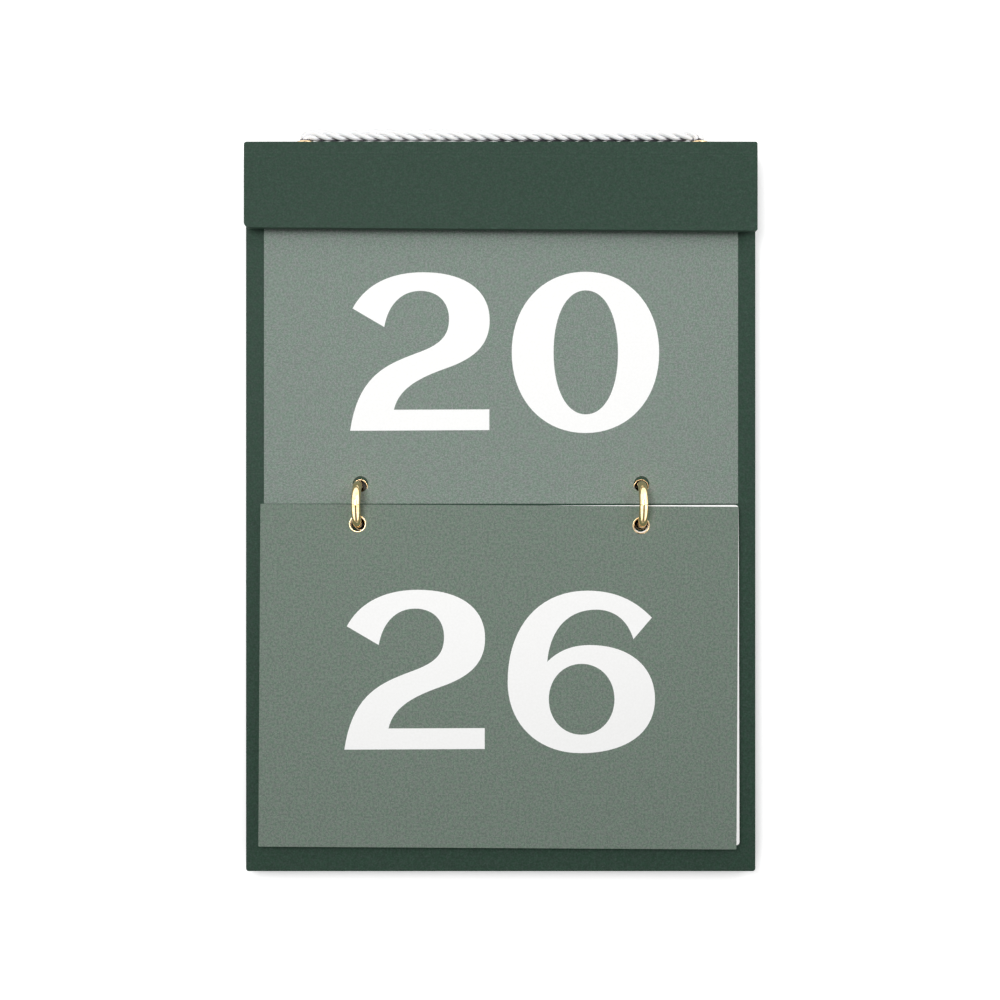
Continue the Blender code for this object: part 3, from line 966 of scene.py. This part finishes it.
@dataclass
class PrintedSheet:
    """A leaf with round-cornered edges and ring holes, whose face and figures have their own colours.

    Its outline is that of the solid it stands for, turned about the middle of the ring axis. It hangs from
    the rings towards the calendar's top or its foot.
    """

    name: str
    node: str
    slot: Slot
    hangs: Half
    near: float
    height: float
    hole_radius: float
    shift: Point
    tilt: float = 0
    corner: float = 0.3 * MM
    marks: list[Outline] = field(default_factory=list)
    width: float = 137.6 * MM
    hole_spacing: float = 81.6 * MM
    hole_from_axis: float = 5.75 * MM
    hole_steps: int = 48

    def placed(self, points: list[Point]) -> Outline:
        """Points of the sheet's own plan, turned and shifted to where the sheet lies.

        Args:
            points: the points.

        Returns:
            Their places.
        """
        turn = Matrix.Rotation(self.tilt, 2)
        away = Vector((self.shift[0], self.shift[1] + RING_Y))
        return [turn @ Vector(point) + away for point in points]

    def outlines(self) -> tuple[list[Outline], int]:
        """Every outline on the sheet.

        Returns:
            The edge, the holes, and each figure's outline and counters, with the number of holes.
        """
        way = self.hangs.value
        low, high = sorted((way * self.near, way * (self.near + self.height)))
        half = self.width / 2
        found = [self.placed(rounded_box(-half, half, low, high, self.corner))]
        for side in Side:
            centre = (side.value * self.hole_spacing / 2, way * self.hole_from_axis)
            found.append(self.placed(arc(centre, self.hole_radius, 0, 360, self.hole_steps)[:-1]))
        return [*found, *self.marks], len(Side)

    def mesh(self, *materials: Material) -> Mesh:
        """The closed sheet.

        Args:
            *materials: those of its face, of the figures on it, and of its back and edges.

        Returns:
            The mesh.
        """
        outlines, hole_count = self.outlines()
        points: list[Vector] = []
        rings: list[list[int]] = []
        for outline in outlines:
            rings.append(list(range(len(points), len(points) + len(outline))))
            points += outline
        made = geometry.delaunay_2d_cdt(points, [], rings, INSIDE_ONLY, MERGE_DISTANCE)
        places, faces, origins = made[0], made[2], made[5]
        holes = set(range(1, 1 + hole_count))
        shape = bmesh.new()
        back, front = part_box(self.node)
        top = [shape.verts.new((*place, front.z)) for place in places]
        low = [shape.verts.new((*place, back.z)) for place in places]
        for face, origin in zip(faces, origins):
            if holes & set(origin):
                continue
            printed = shape.faces.new([top[i] for i in face])
            printed.material_index = (len(origin) - 1) % 2
            shape.faces.new([low[i] for i in reversed(face)]).material_index = 2
        partner = dict(zip(top, low))
        for edge in [e for e in shape.edges if e.is_boundary and e.verts[0] in partner]:
            a, b = (loop.vert for loop in (edge.link_loops[0].link_loop_next, edge.link_loops[0]))
            shape.faces.new((a, b, partner[b], partner[a])).material_index = 2
        bmesh.ops.delete(shape, geom=[v for v in shape.verts if not v.link_faces], context="VERTS")
        mesh = mesh_of(shape, self.name)
        for material in materials:
            mesh.materials.append(material)
        return mesh

    def dress(self, dresser: Dresser, ink: Material) -> None:
        """Make the piece, bare on its back and edges.

        Args:
            dresser: what finishes pieces.
            ink: the material of its figures.
        """
        bare = dresser.finishes[Slot.WHITE_PAPER]
        mesh = self.mesh(dresser.finishes[self.slot], ink, bare)
        dresser.piece(self.name, mesh, self.slot, self.node, self.node)


@dataclass
class Leaves:
    """The printed leaf under the flap and the printed front card, on the rings."""

    leaf_near: float = 0.05 * MM
    leaf_height: float = 98.5 * MM
    leaf_hole: float = 2.28 * MM
    leaf_shift: Point = (0.1 * MM, 0.25 * MM)
    card_near: float = 0.17 * MM
    card_height: float = 98.65 * MM
    card_hole: float = 2.35 * MM
    card_shift: Point = (-0.35 * MM, 0)
    card_tilt: float = math.radians(-0.35)
    upper_two: Point = (-43.7 * MM, 22.35 * MM)
    upper_nought: Point = (3.2 * MM, 22.2 * MM)
    lower_two: Point = (-45.0 * MM, -69.6 * MM)
    lower_six: Point = (2.0 * MM, -69.6 * MM)

    def dress(self, dresser: Dresser) -> None:
        """Make both sheets, printed round their bare figures.

        Args:
            dresser: what finishes pieces.
        """
        upper = PrintedSheet(
            name="upper_leaf_print",
            node="upper_leaf",
            slot=Slot.PRINTED_PAPER,
            hangs=Half.UPPER,
            near=self.leaf_near,
            height=self.leaf_height,
            hole_radius=self.leaf_hole,
            shift=self.leaf_shift,
            marks=[*set_at(numeral_two(), self.upper_two), *set_at(numeral_nought(), self.upper_nought)],
        )
        card = PrintedSheet(
            name="front_card_print",
            node="front_card",
            slot=Slot.PRINTED_CARD,
            hangs=Half.LOWER,
            near=self.card_near,
            height=self.card_height,
            hole_radius=self.card_hole,
            shift=self.card_shift,
            tilt=self.card_tilt,
            marks=[*set_at(numeral_two(), self.lower_two), *set_at(numeral_six(), self.lower_six)],
        )
        for sheet in (upper, card):
            sheet.dress(dresser, dresser.finishes[Slot.WHITE_PAPER])


@dataclass
class MonthLeaves:
    """The white leaves behind the card, each printed with the number of its month and its days."""

    year: int = 2026
    count: int = 12
    near: float = 0.3 * MM
    height: float = 97.95 * MM
    corner: float = 0.9 * MM
    hole_radius: float = 2.25 * MM
    middle: float = -0.35 * MM
    stray: float = 0.12 * MM
    stray_step: float = 2.4
    slant: float = math.radians(0.15)
    sway: float = math.radians(0.03)
    sway_step: float = 1.7
    title_at: Point = (-52.5 * MM, -26 * MM)
    title_height: float = 11 * MM
    first_day_at: Point = (-52.5 * MM, -41 * MM)
    day_pitch: Point = (17.5 * MM, -10.4 * MM)
    day_height: float = 4.2 * MM

    def dress(self, dresser: Dresser) -> None:
        """Make every month's leaf.

        Args:
            dresser: what finishes pieces.
        """
        days = {day: figures(str(day), self.day_height) for day in range(1, LONGEST_MONTH + 1)}
        for month in range(1, self.count + 1):
            sheet = self.sheet(month)
            sheet.marks = [sheet.placed(outline) for outline in self.page(month, days)]
            sheet.dress(dresser, dresser.finishes.ink)

    def sheet(self, month: int) -> PrintedSheet:
        """A month's leaf with nothing on it, where its solid lies.

        Args:
            month: its number.

        Returns:
            The sheet.
        """
        node = f"month_leaf_{month:02d}"
        return PrintedSheet(
            name=f"{node}_dated",
            node=node,
            slot=Slot.WHITE_PAPER,
            hangs=Half.LOWER,
            near=self.near,
            height=self.height,
            hole_radius=self.hole_radius,
            shift=(self.middle + self.stray * math.sin(self.stray_step * month), 0),
            tilt=self.slant + self.sway * math.cos(self.sway_step * month),
            corner=self.corner,
        )

    def page(self, month: int, days: dict[int, list[Outline]]) -> list[Outline]:
        """The outlines printed on a month's leaf.

        Args:
            month: its number.
            days: the outlines of each day's number.

        Returns:
            The outlines, in the leaf's own plan.
        """
        found = moved(figures(str(month), self.title_height), self.title_at)
        first, length = calendar.monthrange(self.year, month)
        for day in range(1, length + 1):
            week, column = divmod(first + day - 1, WEEK)
            x = self.first_day_at[0] + column * self.day_pitch[0]
            y = self.first_day_at[1] + week * self.day_pitch[1]
            found += moved(days[day], (x, y))
        return found


@dataclass
class Covers:
    """The leatherette over the case, the spine and the flap, with the lining and the back sheet."""

    smooth_angle: float = math.radians(40)
    # faces that lean less than flat_lean get no painted highlight; it grows to full over the next angle
    flat_lean: float = math.radians(9)
    rubbed_lean: float = math.radians(26)
    slots: tuple[tuple[str, Slot, str], ...] = (
        ("case_cover", Slot.LEATHERETTE, "case"),
        ("spine_cover", Slot.LEATHERETTE, "case"),
        ("back_sheet", Slot.LEATHERETTE, "case"),
        ("flap_cover", Slot.LEATHERETTE, "flap"),
        ("flap_lining", Slot.LINING, "flap"),
    )

    def dress(self, dresser: Dresser, nodes: dict[str, bpy.types.Object]) -> None:
        """Make every cover with soft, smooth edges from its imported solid."""
        for node, slot, body in self.slots:
            dresser.piece(f"{node}_grained", self.softened(nodes[node].data), slot, body, node)

    def softened(self, solid: Mesh) -> Mesh:
        """A copy of a solid, its round edges shaded smooth and marked for a painted highlight, and its faces
        flat.

        Args:
            solid: the solid's mesh.

        Returns:
            The copy.
        """
        copy = weld(solid.copy())
        copy.materials.clear()
        copy.shade_smooth()
        copy.set_sharp_from_angle(angle=self.smooth_angle)
        # painted highlight mask per face: 0 on flat faces, rising to 1 on faces that lean round an edge or a
        # crease
        rub = copy.attributes.new("rub", "FLOAT", "FACE")
        for face in copy.polygons:
            lean = math.acos(min(1, max(map(abs, face.normal))))
            rub.data[face.index].value = min(1, max(0, lean - self.flat_lean) / self.rubbed_lean)
        holder = new_object("cover", copy)
        step = holder.modifiers.new("flat_faces", "WEIGHTED_NORMAL")
        step.keep_sharp = True
        return baked_mesh(holder)


@dataclass(frozen=True)
class EyeletSize:
    """An eyelet's bore and flange, as radii, and its flange's thickness."""

    bore: float
    flange: float
    rim: float


@dataclass
class Eyelets:
    """Turned gold eyelets in the board, the card and the spine."""

    board: EyeletSize = EyeletSize(bore=1.93 * MM, flange=2.15 * MM, rim=0.3 * MM)
    card: EyeletSize = EyeletSize(bore=2.08 * MM, flange=2.48 * MM, rim=0.15 * MM)
    spine: EyeletSize = EyeletSize(bore=2.05 * MM, flange=2.7 * MM, rim=1.25 * MM)
    wall: float = 0.2 * MM
    roll_share: float = 0.9

    def section(self, size: EyeletSize, top: float, foot: float) -> list[Point]:
        """An eyelet's section with a rolled flange.

        Args:
            size: the eyelet's size.
            top: the flange's height.
            foot: the barrel's lower end.

        Returns:
            The section's points.
        """
        roll = min(size.rim, (size.flange - size.bore) / 2) * self.roll_share
        inner = arc((size.bore + roll, top - roll), roll, 180, 90)
        outer = arc((size.flange - roll, top - roll), roll, 90, 0)
        wall = size.bore + self.wall
        under = top - size.rim
        return [*inner, *outer, (size.flange, under), (wall, under), (wall, foot), (size.bore, foot)]

    def dress(self, dresser: Dresser) -> None:
        """Make every eyelet where its solid is.

        Args:
            dresser: what finishes pieces.
        """
        for side in Side:
            for half in Half:
                self.make(dresser, f"board_eyelet_{side.word}_{half.word}", "case", self.board)
            self.make(dresser, f"card_eyelet_{side.word}", "front_card", self.card)
            self.make(dresser, f"cord_eyelet_{side.word}", "case", self.spine, along_y=True)

    def make(self, dresser: Dresser, node: str, body: str, size: EyeletSize, along_y: bool = False) -> None:
        """Turn one eyelet in its solid's place.

        Args:
            dresser: what finishes pieces.
            node: the solid.
            body: the body that it rides on.
            size: the eyelet's size.
            along_y: whether it points to the calendar's top, and not out of the pages.
        """
        low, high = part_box(node)
        middle = (low + high) / 2
        if along_y:
            section = self.section(size, high.y, low.y)
            place = Matrix.Translation((middle.x, 0, middle.z)) @ Matrix.Rotation(-math.pi / 2, 4, "X")
        else:
            section = self.section(size, high.z, low.z)
            place = Matrix.Translation((middle.x, middle.y, 0))
        mesh = turned(section)
        mesh.transform(place)
        # the eyelets take the gold copy whose darker base colour is painted shade
        mesh.materials.append(dresser.finishes.satin_gold)
        dresser.piece(f"{node}_polished", mesh, Slot.GOLD, body, node)


@dataclass
class Rings:
    """Two binder rings, each of two halves that meet at a tongue in front and on a pin behind."""

    ring_z: float = 9.985 * MM
    spacing: float = 81.9 * MM
    middle: float = -0.25 * MM
    radius: float = 5.6 * MM
    wire: float = 1.32 * MM
    seam_gap: float = 0.15 * MM
    seam_straight: float = 0.4 * MM
    tongue: float = 0.5 * MM
    tongue_length: float = 0.7 * MM
    socket: float = 0.7 * MM
    socket_depth: float = 1.0 * MM
    knuckle: float = 1.5 * MM
    relief: float = 1.7 * MM
    knuckle_half: float = 0.55 * MM
    cheek: float = 0.65 * MM
    bore: float = 0.62 * MM
    arc_steps: int = 72
    wire_resolution: int = 12

    def dress(self, dresser: Dresser) -> None:
        """Make the four halves.

        Args:
            dresser: what finishes pieces.
        """
        for side in Side:
            for half in Half:
                node = f"ring_{side.word}_{half.word}"
                dresser.piece(f"{node}_polished", self.half_mesh(side, half), Slot.GOLD, node, node)

    def half_mesh(self, side: Side, half: Half) -> Mesh:
        """One half ring in its place.

        Args:
            side: left or right ring.
            half: upper or lower half.

        Returns:
            The mesh.
        """
        x = self.middle + side.value * self.spacing / 2
        out = Vector((0, half.value, 0))
        seam = Vector((x, RING_Y, self.ring_z + self.radius))
        pin = Vector((x, RING_Y, self.ring_z - self.radius))
        points = [seam + out * self.seam_gap / 2, seam + out * self.seam_straight]
        for step in range(self.arc_steps + 1):
            turn = math.pi * (0.5 - step / self.arc_steps)
            reach = self.radius * math.cos(turn)
            if reach > self.seam_straight or turn < 0:
                height = self.ring_z + self.radius * math.sin(turn)
                points.append(Vector((x, RING_Y + half.value * reach, height)))
        holder = new_object("half_ring", tube(points, self.wire, self.wire_resolution))
        for tool, operation in self.tools(half, pin, seam, out):
            self.shape_with(holder, tool, operation)
        mesh = baked_mesh(holder)
        mesh.materials.clear()
        return smooth(mesh)

    def tools(self, half: Half, pin: Vector, seam: Vector, out: Vector) -> list[tuple[Mesh, str]]:
        """What is cut from a half ring and joined to it.

        Args:
            half: upper or lower half.
            pin: the pin's middle.
            seam: the joint's middle.
            out: the way from the joint into the half.

        Returns:
            Meshes with their Boolean operations.
        """
        far = 2 * self.wire
        bore = self.across(pin, self.bore, -far, far)
        found = []
        if half is Half.UPPER:
            for sign in (1, -1):
                cheek_room = self.across(pin, self.relief, sign * self.knuckle_half, sign * far)
                found.append((cheek_room, "DIFFERENCE"))
            found.append((self.across(pin, self.knuckle, -self.knuckle_half, self.knuckle_half), "UNION"))
            reach = out * self.tongue_length
            found.append((cylinder(self.tongue, seam + reach, seam - reach), "UNION"))
        else:
            found.append((self.across(pin, self.relief, -self.cheek, self.cheek), "DIFFERENCE"))
            for sign in (1, -1):
                found.append((self.across(pin, self.knuckle, sign * self.cheek, sign * self.wire), "UNION"))
            start, end = seam - out * self.tongue_length, seam + out * self.socket_depth
            found.append((cylinder(self.socket, start, end), "DIFFERENCE"))
        return [*found, (bore, "DIFFERENCE")]

    def across(self, pin: Vector, radius: float, start: float, end: float) -> Mesh:
        """A bar along the pin, between two places on it."""
        return cylinder(radius, pin + Vector((start, 0, 0)), pin + Vector((end, 0, 0)))

    def shape_with(self, holder: bpy.types.Object, tool: Mesh, operation: str) -> None:
        """Add one Boolean step, its tool parented to the piece so that both go together.

        Args:
            holder: the piece.
            tool: what is cut from it or joined to it.
            operation: the Boolean operation.
        """
        cutter = new_object("tool", tool)
        cutter.parent = holder
        step = holder.modifiers.new("shape", "BOOLEAN")
        step.operation = operation
        step.object = cutter


class CordTree(NodeMaker):
    """Geometry Nodes that lay twisted strands of ribbed yarn along a route."""

    def __init__(self) -> None:
        """Build the tree."""
        tree = bpy.data.node_groups.new("twisted_cord", "GeometryNodeTree")
        super().__init__(tree)
        face = tree.interface
        face.new_socket("Route", in_out="INPUT", socket_type="NodeSocketGeometry")
        numbers = ("Cord Radius", "Strand Radius", "Strand Offset", "Lay", "Step", "Yarn Height", "Yarn Lay")
        for name in numbers:
            face.new_socket(name, in_out="INPUT", socket_type="NodeSocketFloat")
        for name in ("Strands", "Yarns", "Sides"):
            face.new_socket(name, in_out="INPUT", socket_type="NodeSocketInt")
        face.new_socket("Material", in_out="INPUT", socket_type="NodeSocketMaterial")
        face.new_socket("Cord", in_out="OUTPUT", socket_type="NodeSocketGeometry")
        self.given = self.add("NodeGroupInput").outputs
        self.build()

    def build(self) -> None:
        """Lay the strands, sweep them and raise their yarns."""
        given = self.given
        inputs = {"Curve": given["Route"], "Length": given["Step"]}
        fine = self.add("GeometryNodeResampleCurve", inputs, mode="LENGTH").outputs[0]
        place = self.add("GeometryNodeInputPosition").outputs[0]
        fine = self.store(fine, "axis", place, "FLOAT_VECTOR")
        inputs = {"Geometry": fine, "Amount": given["Strands"]}
        copies = self.add("GeometryNodeDuplicateElements", inputs, domain="SPLINE")
        along = self.add("GeometryNodeSplineParameter").outputs["Length"]
        share = self.maths("DIVIDE", copies.outputs["Duplicate Index"], given["Strands"])
        turns = self.maths("ADD", self.maths("DIVIDE", along, given["Lay"]), share)
        angle = self.maths("MULTIPLY", turns, math.tau)
        tangent = self.add("GeometryNodeInputTangent").outputs[0]
        up = self.add("FunctionNodeInputVector", vector=(0, 0, 1)).outputs[0]
        across = self.vector("CROSS_PRODUCT", up, tangent)
        aside = self.maths("MULTIPLY", self.maths("COSINE", angle), given["Strand Offset"])
        above = self.maths("MULTIPLY", self.maths("SINE", angle), given["Strand Offset"])
        sideways = self.vector("SCALE", across, scale=aside)
        offset = self.vector("ADD", sideways, self.vector("SCALE", up, scale=above))
        strands = self.add("GeometryNodeSetPosition", {"Geometry": copies.outputs[0], "Offset": offset})
        length = self.add("GeometryNodeSplineParameter").outputs["Length"]
        marked = self.store(strands.outputs[0], "run", length)
        inputs = {"Resolution": given["Sides"], "Radius": given["Strand Radius"]}
        circle = self.add("GeometryNodeCurvePrimitiveCircle", inputs).outputs[0]
        profile = self.store(circle, "round", self.add("GeometryNodeSplineParameter").outputs["Factor"])
        inputs = {"Curve": marked, "Profile Curve": profile, "Fill Caps": True}
        swept = self.add("GeometryNodeCurveToMesh", inputs)
        yarn = self.maths("MULTIPLY", self.stored("round"), given["Yarns"])
        phase = self.maths("SUBTRACT", yarn, self.maths("DIVIDE", self.stored("run"), given["Yarn Lay"]))
        wave = self.maths("COSINE", self.maths("MULTIPLY", phase, math.tau))
        ridge = self.maths("MULTIPLY_ADD", wave, 0.5, 0.5)
        normal = self.add("GeometryNodeInputNormal").outputs[0]
        lift = self.maths("MULTIPLY", self.maths("SUBTRACT", ridge, 1.0), given["Yarn Height"])
        inputs = {"Geometry": swept.outputs[0], "Offset": self.vector("SCALE", normal, scale=lift)}
        # thread and reach are kept for the yarn material, which paints shade between threads and between
        # strands from them
        threaded = self.store(self.add("GeometryNodeSetPosition", inputs).outputs[0], "thread", ridge)
        away = self.vector("DISTANCE", place, self.stored("axis", "FLOAT_VECTOR"), result="Value")
        shaded = self.store(threaded, "reach", self.maths("DIVIDE", away, given["Cord Radius"]))
        rounded = self.add("GeometryNodeSetShadeSmooth", {"Geometry": shaded})
        real = self.add("GeometryNodeRealizeInstances", {"Geometry": rounded.outputs[0]})
        inputs = {"Geometry": real.outputs[0], "Material": given["Material"]}
        finished = self.add("GeometryNodeSetMaterial", inputs)
        self.add("NodeGroupOutput", {"Cord": finished.outputs[0]})

    def store(self, geometry_in: Socket, name: str, value: Socket, kind: str = "FLOAT") -> Socket:
        """Keep a value on every point of a geometry, as a named attribute."""
        inputs = {"Geometry": geometry_in, "Name": name, "Value": value}
        return self.add("GeometryNodeStoreNamedAttribute", inputs, data_type=kind, domain="POINT").outputs[0]

    def stored(self, name: str, kind: str = "FLOAT") -> Socket:
        """Read a value that was kept on the points."""
        return self.add("GeometryNodeInputNamedAttribute", {"Name": name}, data_type=kind).outputs[0]

    def vector(
        self, operation: str, *values: object, scale: object = None, result: str = "Vector"
    ) -> Socket:
        """Work out with vectors.

        Args:
            operation: the vector math node's operation.
            *values: vectors or outputs.
            scale: the factor of a scale operation.
            result: which output is wanted.

        Returns:
            The result's socket.
        """
        node = self.add("ShaderNodeVectorMath", dict(enumerate(values)), operation=operation)
        if scale is not None:
            self.feed(node.inputs["Scale"], scale)
        return node.outputs[result]

    def apply(self, holder: bpy.types.Object, values: dict[str, object]) -> Mesh:
        """Run the tree on an object.

        Args:
            holder: the object, which is removed.
            values: the named inputs.

        Returns:
            The plain mesh.
        """
        step = holder.modifiers.new("nodes", "NODES")
        step.node_group = self.tree
        for item in self.tree.interface.items_tree:
            if item.in_out == "INPUT" and item.name in values:
                step[item.identifier] = values[item.name]
        return baked_mesh(holder)


@dataclass
class CordHandle:
    """The twisted white cord between its two eyelets, and the bars that hold its ends."""

    radius: float = 1.75 * MM
    left: float = -56.55 * MM
    right: float = 57.45 * MM
    height: float = 9 * MM
    spine_face: float = 104.5 * MM
    off_spine: float = 3.35 * MM
    bend: float = 2.1 * MM
    run_in: float = 5 * MM
    wave: float = 0.08 * MM
    start: float = 102.4 * MM
    lay: float = 16.1 * MM
    strands: int = 4
    strand_share: float = 0.43
    strand_sides: int = 36
    strand_step: float = 0.25 * MM
    yarns: int = 9
    yarn_height: float = 0.06 * MM
    yarn_lay: float = 30 * MM
    route_steps: int = 8
    bar_radius: float = 0.8 * MM
    bar_edge: float = 0.35 * MM
    bar_core: float = 0.02 * MM
    bar_steps: int = 40

    def route(self) -> list[Vector]:
        """The route's own points, as the solid has them.

        Returns:
            The points, from the left end to the right.
        """
        left, right = self.left, self.right
        top = self.spine_face + self.off_spine
        shoulder = self.bend * (1 - math.sqrt(0.5))
        third = (right - left) / 3
        places = [
            (left, self.start),
            (left, top - self.bend),
            (left + shoulder, top - shoulder),
            (left + self.bend, top),
            (left + self.run_in, top),
            (left + third, top + self.wave),
            (right - third, top - self.wave),
            (right - self.run_in, top),
            (right - self.bend, top),
            (right - shoulder, top - shoulder),
            (right, top - self.bend),
            (right, self.start),
        ]
        return [Vector((x, y, self.height)) for x, y in places]

    def smooth_route(self) -> list[Vector]:
        """Close points on a Bezier curve through the route.

        Returns:
            The points, from the left end to the right.
        """
        curve = bpy.data.curves.new("route", "CURVE")
        curve.dimensions = "3D"
        curve.resolution_u = self.route_steps
        spline = curve.splines.new("BEZIER")
        route = self.route()
        spline.bezier_points.add(len(route) - 1)
        for point, place in zip(spline.bezier_points, route):
            point.co = place
            point.handle_left_type = "AUTO"
            point.handle_right_type = "AUTO"
        mesh = baked_mesh(new_object("route", curve))
        points = [vertex.co.copy() for vertex in mesh.vertices]
        bpy.data.meshes.remove(mesh)
        return points

    def dress(self, dresser: Dresser) -> None:
        """Make the cord and its end bars.

        Args:
            dresser: what finishes pieces.
        """
        points = self.smooth_route()
        strand = self.radius * self.strand_share
        sizes = {
            "Cord Radius": self.radius,
            "Strand Radius": strand,
            "Strand Offset": self.radius - strand,
            "Lay": self.lay,
            "Step": self.strand_step,
            "Yarn Height": self.yarn_height,
            "Yarn Lay": self.yarn_lay,
            "Strands": self.strands,
            "Yarns": self.yarns,
            "Sides": self.strand_sides,
            "Material": dresser.finishes[Slot.CORD],
        }
        mesh = CordTree().apply(new_object("cord_route", line_curve("cord_route", points)), sizes)
        cord = dresser.piece("cord_handle_twisted", mesh, Slot.CORD, "case", "cord_handle")
        bars = [self.bar(dresser, side) for side in Side]

    def bar(self, dresser: Dresser, side: Side) -> bpy.types.Object:
        """The round-edged metal bar on one end of the cord.

        Args:
            dresser: what finishes pieces.
            side: the end that it holds.

        Returns:
            The bar.
        """
        node = f"cord_bar_{side.word}"
        low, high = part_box(node)
        middle = (low + high) / 2
        half = (high.x - low.x) / 2
        upper = arc((self.bar_radius - self.bar_edge, half - self.bar_edge), self.bar_edge, 90, 0)
        lower = [(radius, -height) for radius, height in reversed(upper)]
        mesh = turned([(self.bar_core, half), *upper, *lower, (self.bar_core, -half)], self.bar_steps)
        mesh.transform(Matrix.Translation(middle) @ Matrix.Rotation(math.pi / 2, 4, "Y"))
        return dresser.piece(f"{node}_polished", mesh, Slot.GOLD, "case", node)


@dataclass
class Studio:
    """The white floor, the soft light and the camera that looks straight down on the pages."""

    camera_place: Triple = (-0.2 * MM, 2.25 * MM, 358.05 * MM)
    lens: float = 43.37
    sensor: float = 36.0
    clip_start: float = 10 * MM
    floor_size: float = 6.0
    floor_drop: float = 0.05 * MM
    floor_shade: float = 0.8
    floor_glow: float = 0.6
    floor_reach: float = 12 * MM
    ambient: float = 0.28
    key_place: Triple = (-0.1, 0.09, 0.46)
    key_size: float = 0.18
    key_power: float = 1.45
    fill_place: Triple = (0.2, 0.16, 0.26)
    fill_size: float = 0.2
    fill_power: float = 0.25
    side_panel: Point = (0.3, 0.42)
    back_panel: Point = (0.34, 0.5)
    panel_level: float = 2.2
    gap_level: float = 0.25

    def set_up(self) -> None:
        """Make the studio."""
        scene = bpy.context.scene
        scene.view_settings.view_transform = "Standard"
        camera = bpy.data.cameras.new("camera")
        camera.lens = self.lens
        camera.sensor_width = self.sensor
        camera.clip_start = self.clip_start
        scene.camera = new_object("camera", camera)
        scene.camera.location = self.camera_place
        self.lamp("key", self.key_place, self.key_size, self.key_power)
        self.lamp("fill", self.fill_place, self.fill_size, self.fill_power)
        self.world()
        self.floor()

    def lamp(self, name: str, place: Triple, size: float, power: float) -> None:
        """A soft square lamp that faces the pages.

        Args:
            name: its name.
            place: where it stands.
            size: its side.
            power: its power in watts.
        """
        light = bpy.data.lights.new(name, "AREA")
        light.size = size
        light.energy = power
        made = new_object(name, light)
        made.location = place
        made.rotation_euler = Vector(place).to_track_quat("Z", "Y").to_euler()

    def world(self) -> None:
        """Even light from all round, white to the camera, with bright panels for the metal to mirror."""
        world = bpy.data.worlds.new("studio")
        world.use_nodes = True
        bpy.context.scene.world = world
        nodes = NodeMaker(world.node_tree)
        path = nodes.add("ShaderNodeLightPath").outputs
        direction = nodes.add("ShaderNodeTexCoord").outputs["Generated"]
        way = nodes.add("ShaderNodeSeparateXYZ", {0: direction}).outputs
        aside = self.panel(nodes, nodes.maths("ABSOLUTE", way["X"]), self.side_panel)
        behind = self.panel(nodes, way["Y"], self.back_panel)
        lit = nodes.maths("MAXIMUM", aside, behind)
        level = nodes.maths("MULTIPLY_ADD", lit, self.panel_level - self.gap_level, self.gap_level)
        plain, mirrored, white = (
            nodes.add("ShaderNodeBackground", {"Color": WHITE, "Strength": strength}).outputs[0]
            for strength in (self.ambient, level, 1.0)
        )
        inner = nodes.add("ShaderNodeMixShader", {0: path["Is Glossy Ray"], 1: plain, 2: mirrored}).outputs[0]
        seen = nodes.maths("MAXIMUM", path["Is Camera Ray"], path["Is Transmission Ray"])
        outer = nodes.add("ShaderNodeMixShader", {0: seen, 1: inner, 2: white}).outputs[0]
        nodes.add("ShaderNodeOutputWorld", {"Surface": outer})

    def panel(self, nodes: NodeMaker, value: Socket, edge: Point) -> Socket:
        """From 0 to 1, how much of a light panel is seen across its soft edge, as a value grows."""
        inputs = {"Value": value, "From Min": edge[0], "From Max": edge[1]}
        return nodes.add("ShaderNodeMapRange", inputs, interpolation_type="SMOOTHSTEP").outputs[0]

    def floor(self) -> None:
        """A white floor that glows to the camera and keeps the calendar's shadow."""
        shape = bmesh.new()
        bmesh.ops.create_grid(shape, x_segments=1, y_segments=1, size=self.floor_size / 2)
        mesh = mesh_of(shape, "floor")
        mesh.transform(Matrix.Translation((0, 0, -self.floor_drop)))
        material = bpy.data.materials.new("floor_white")
        material.use_nodes = True
        nodes = NodeMaker(material.node_tree)
        path = nodes.add("ShaderNodeLightPath").outputs
        seen = nodes.maths("MAXIMUM", path["Is Camera Ray"], path["Is Glossy Ray"])
        seen = nodes.maths("MAXIMUM", seen, path["Is Transmission Ray"])
        shade = (self.floor_shade, self.floor_shade, self.floor_shade, 1)
        matt = nodes.add("ShaderNodeBsdfDiffuse", {"Color": shade})
        open_air = nodes.add("ShaderNodeAmbientOcclusion", {"Distance": self.floor_reach}).outputs["AO"]
        strength = nodes.maths("MULTIPLY", nodes.maths("MULTIPLY", seen, self.floor_glow), open_air)
        glow = nodes.add("ShaderNodeEmission", {"Strength": strength})
        both = nodes.add("ShaderNodeAddShader", {0: matt.outputs[0], 1: glow.outputs[0]})
        nodes.add("ShaderNodeOutputMaterial", {"Surface": both.outputs[0]})
        mesh.materials.append(material)
        new_object("floor", mesh)


def dress_solids(frame: dict, finishes: Finishes) -> None:
    """Give every solid the finish of its slot.

    Args:
        finishes: the calendar's materials.
    """
    slots = {part["node"]: Slot(part["material_slot"]) for part in frame["record"]["subparts"]}
    for name, node in frame["nodes"].items():
        for holder in node.material_slots:
            holder.material = finishes[slots[name]]
        LOG.info("%s: %s", name, slots[name].value)


def main() -> None:
    """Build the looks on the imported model."""
    logging.basicConfig(level=logging.INFO, format="%(name)s: %(message)s")
    clear_scene()
    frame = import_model()
    finishes = Finishes()
    dresser = Dresser(finishes)
    Studio().set_up()
    CordHandle().dress(dresser)
    dress_solids(frame, finishes)
    Covers().dress(dresser, frame["nodes"])
    Eyelets().dress(dresser)
    Rings().dress(dresser)
    Leaves().dress(dresser)
    MonthLeaves().dress(dresser)


if __name__ == "__main__":
    main()
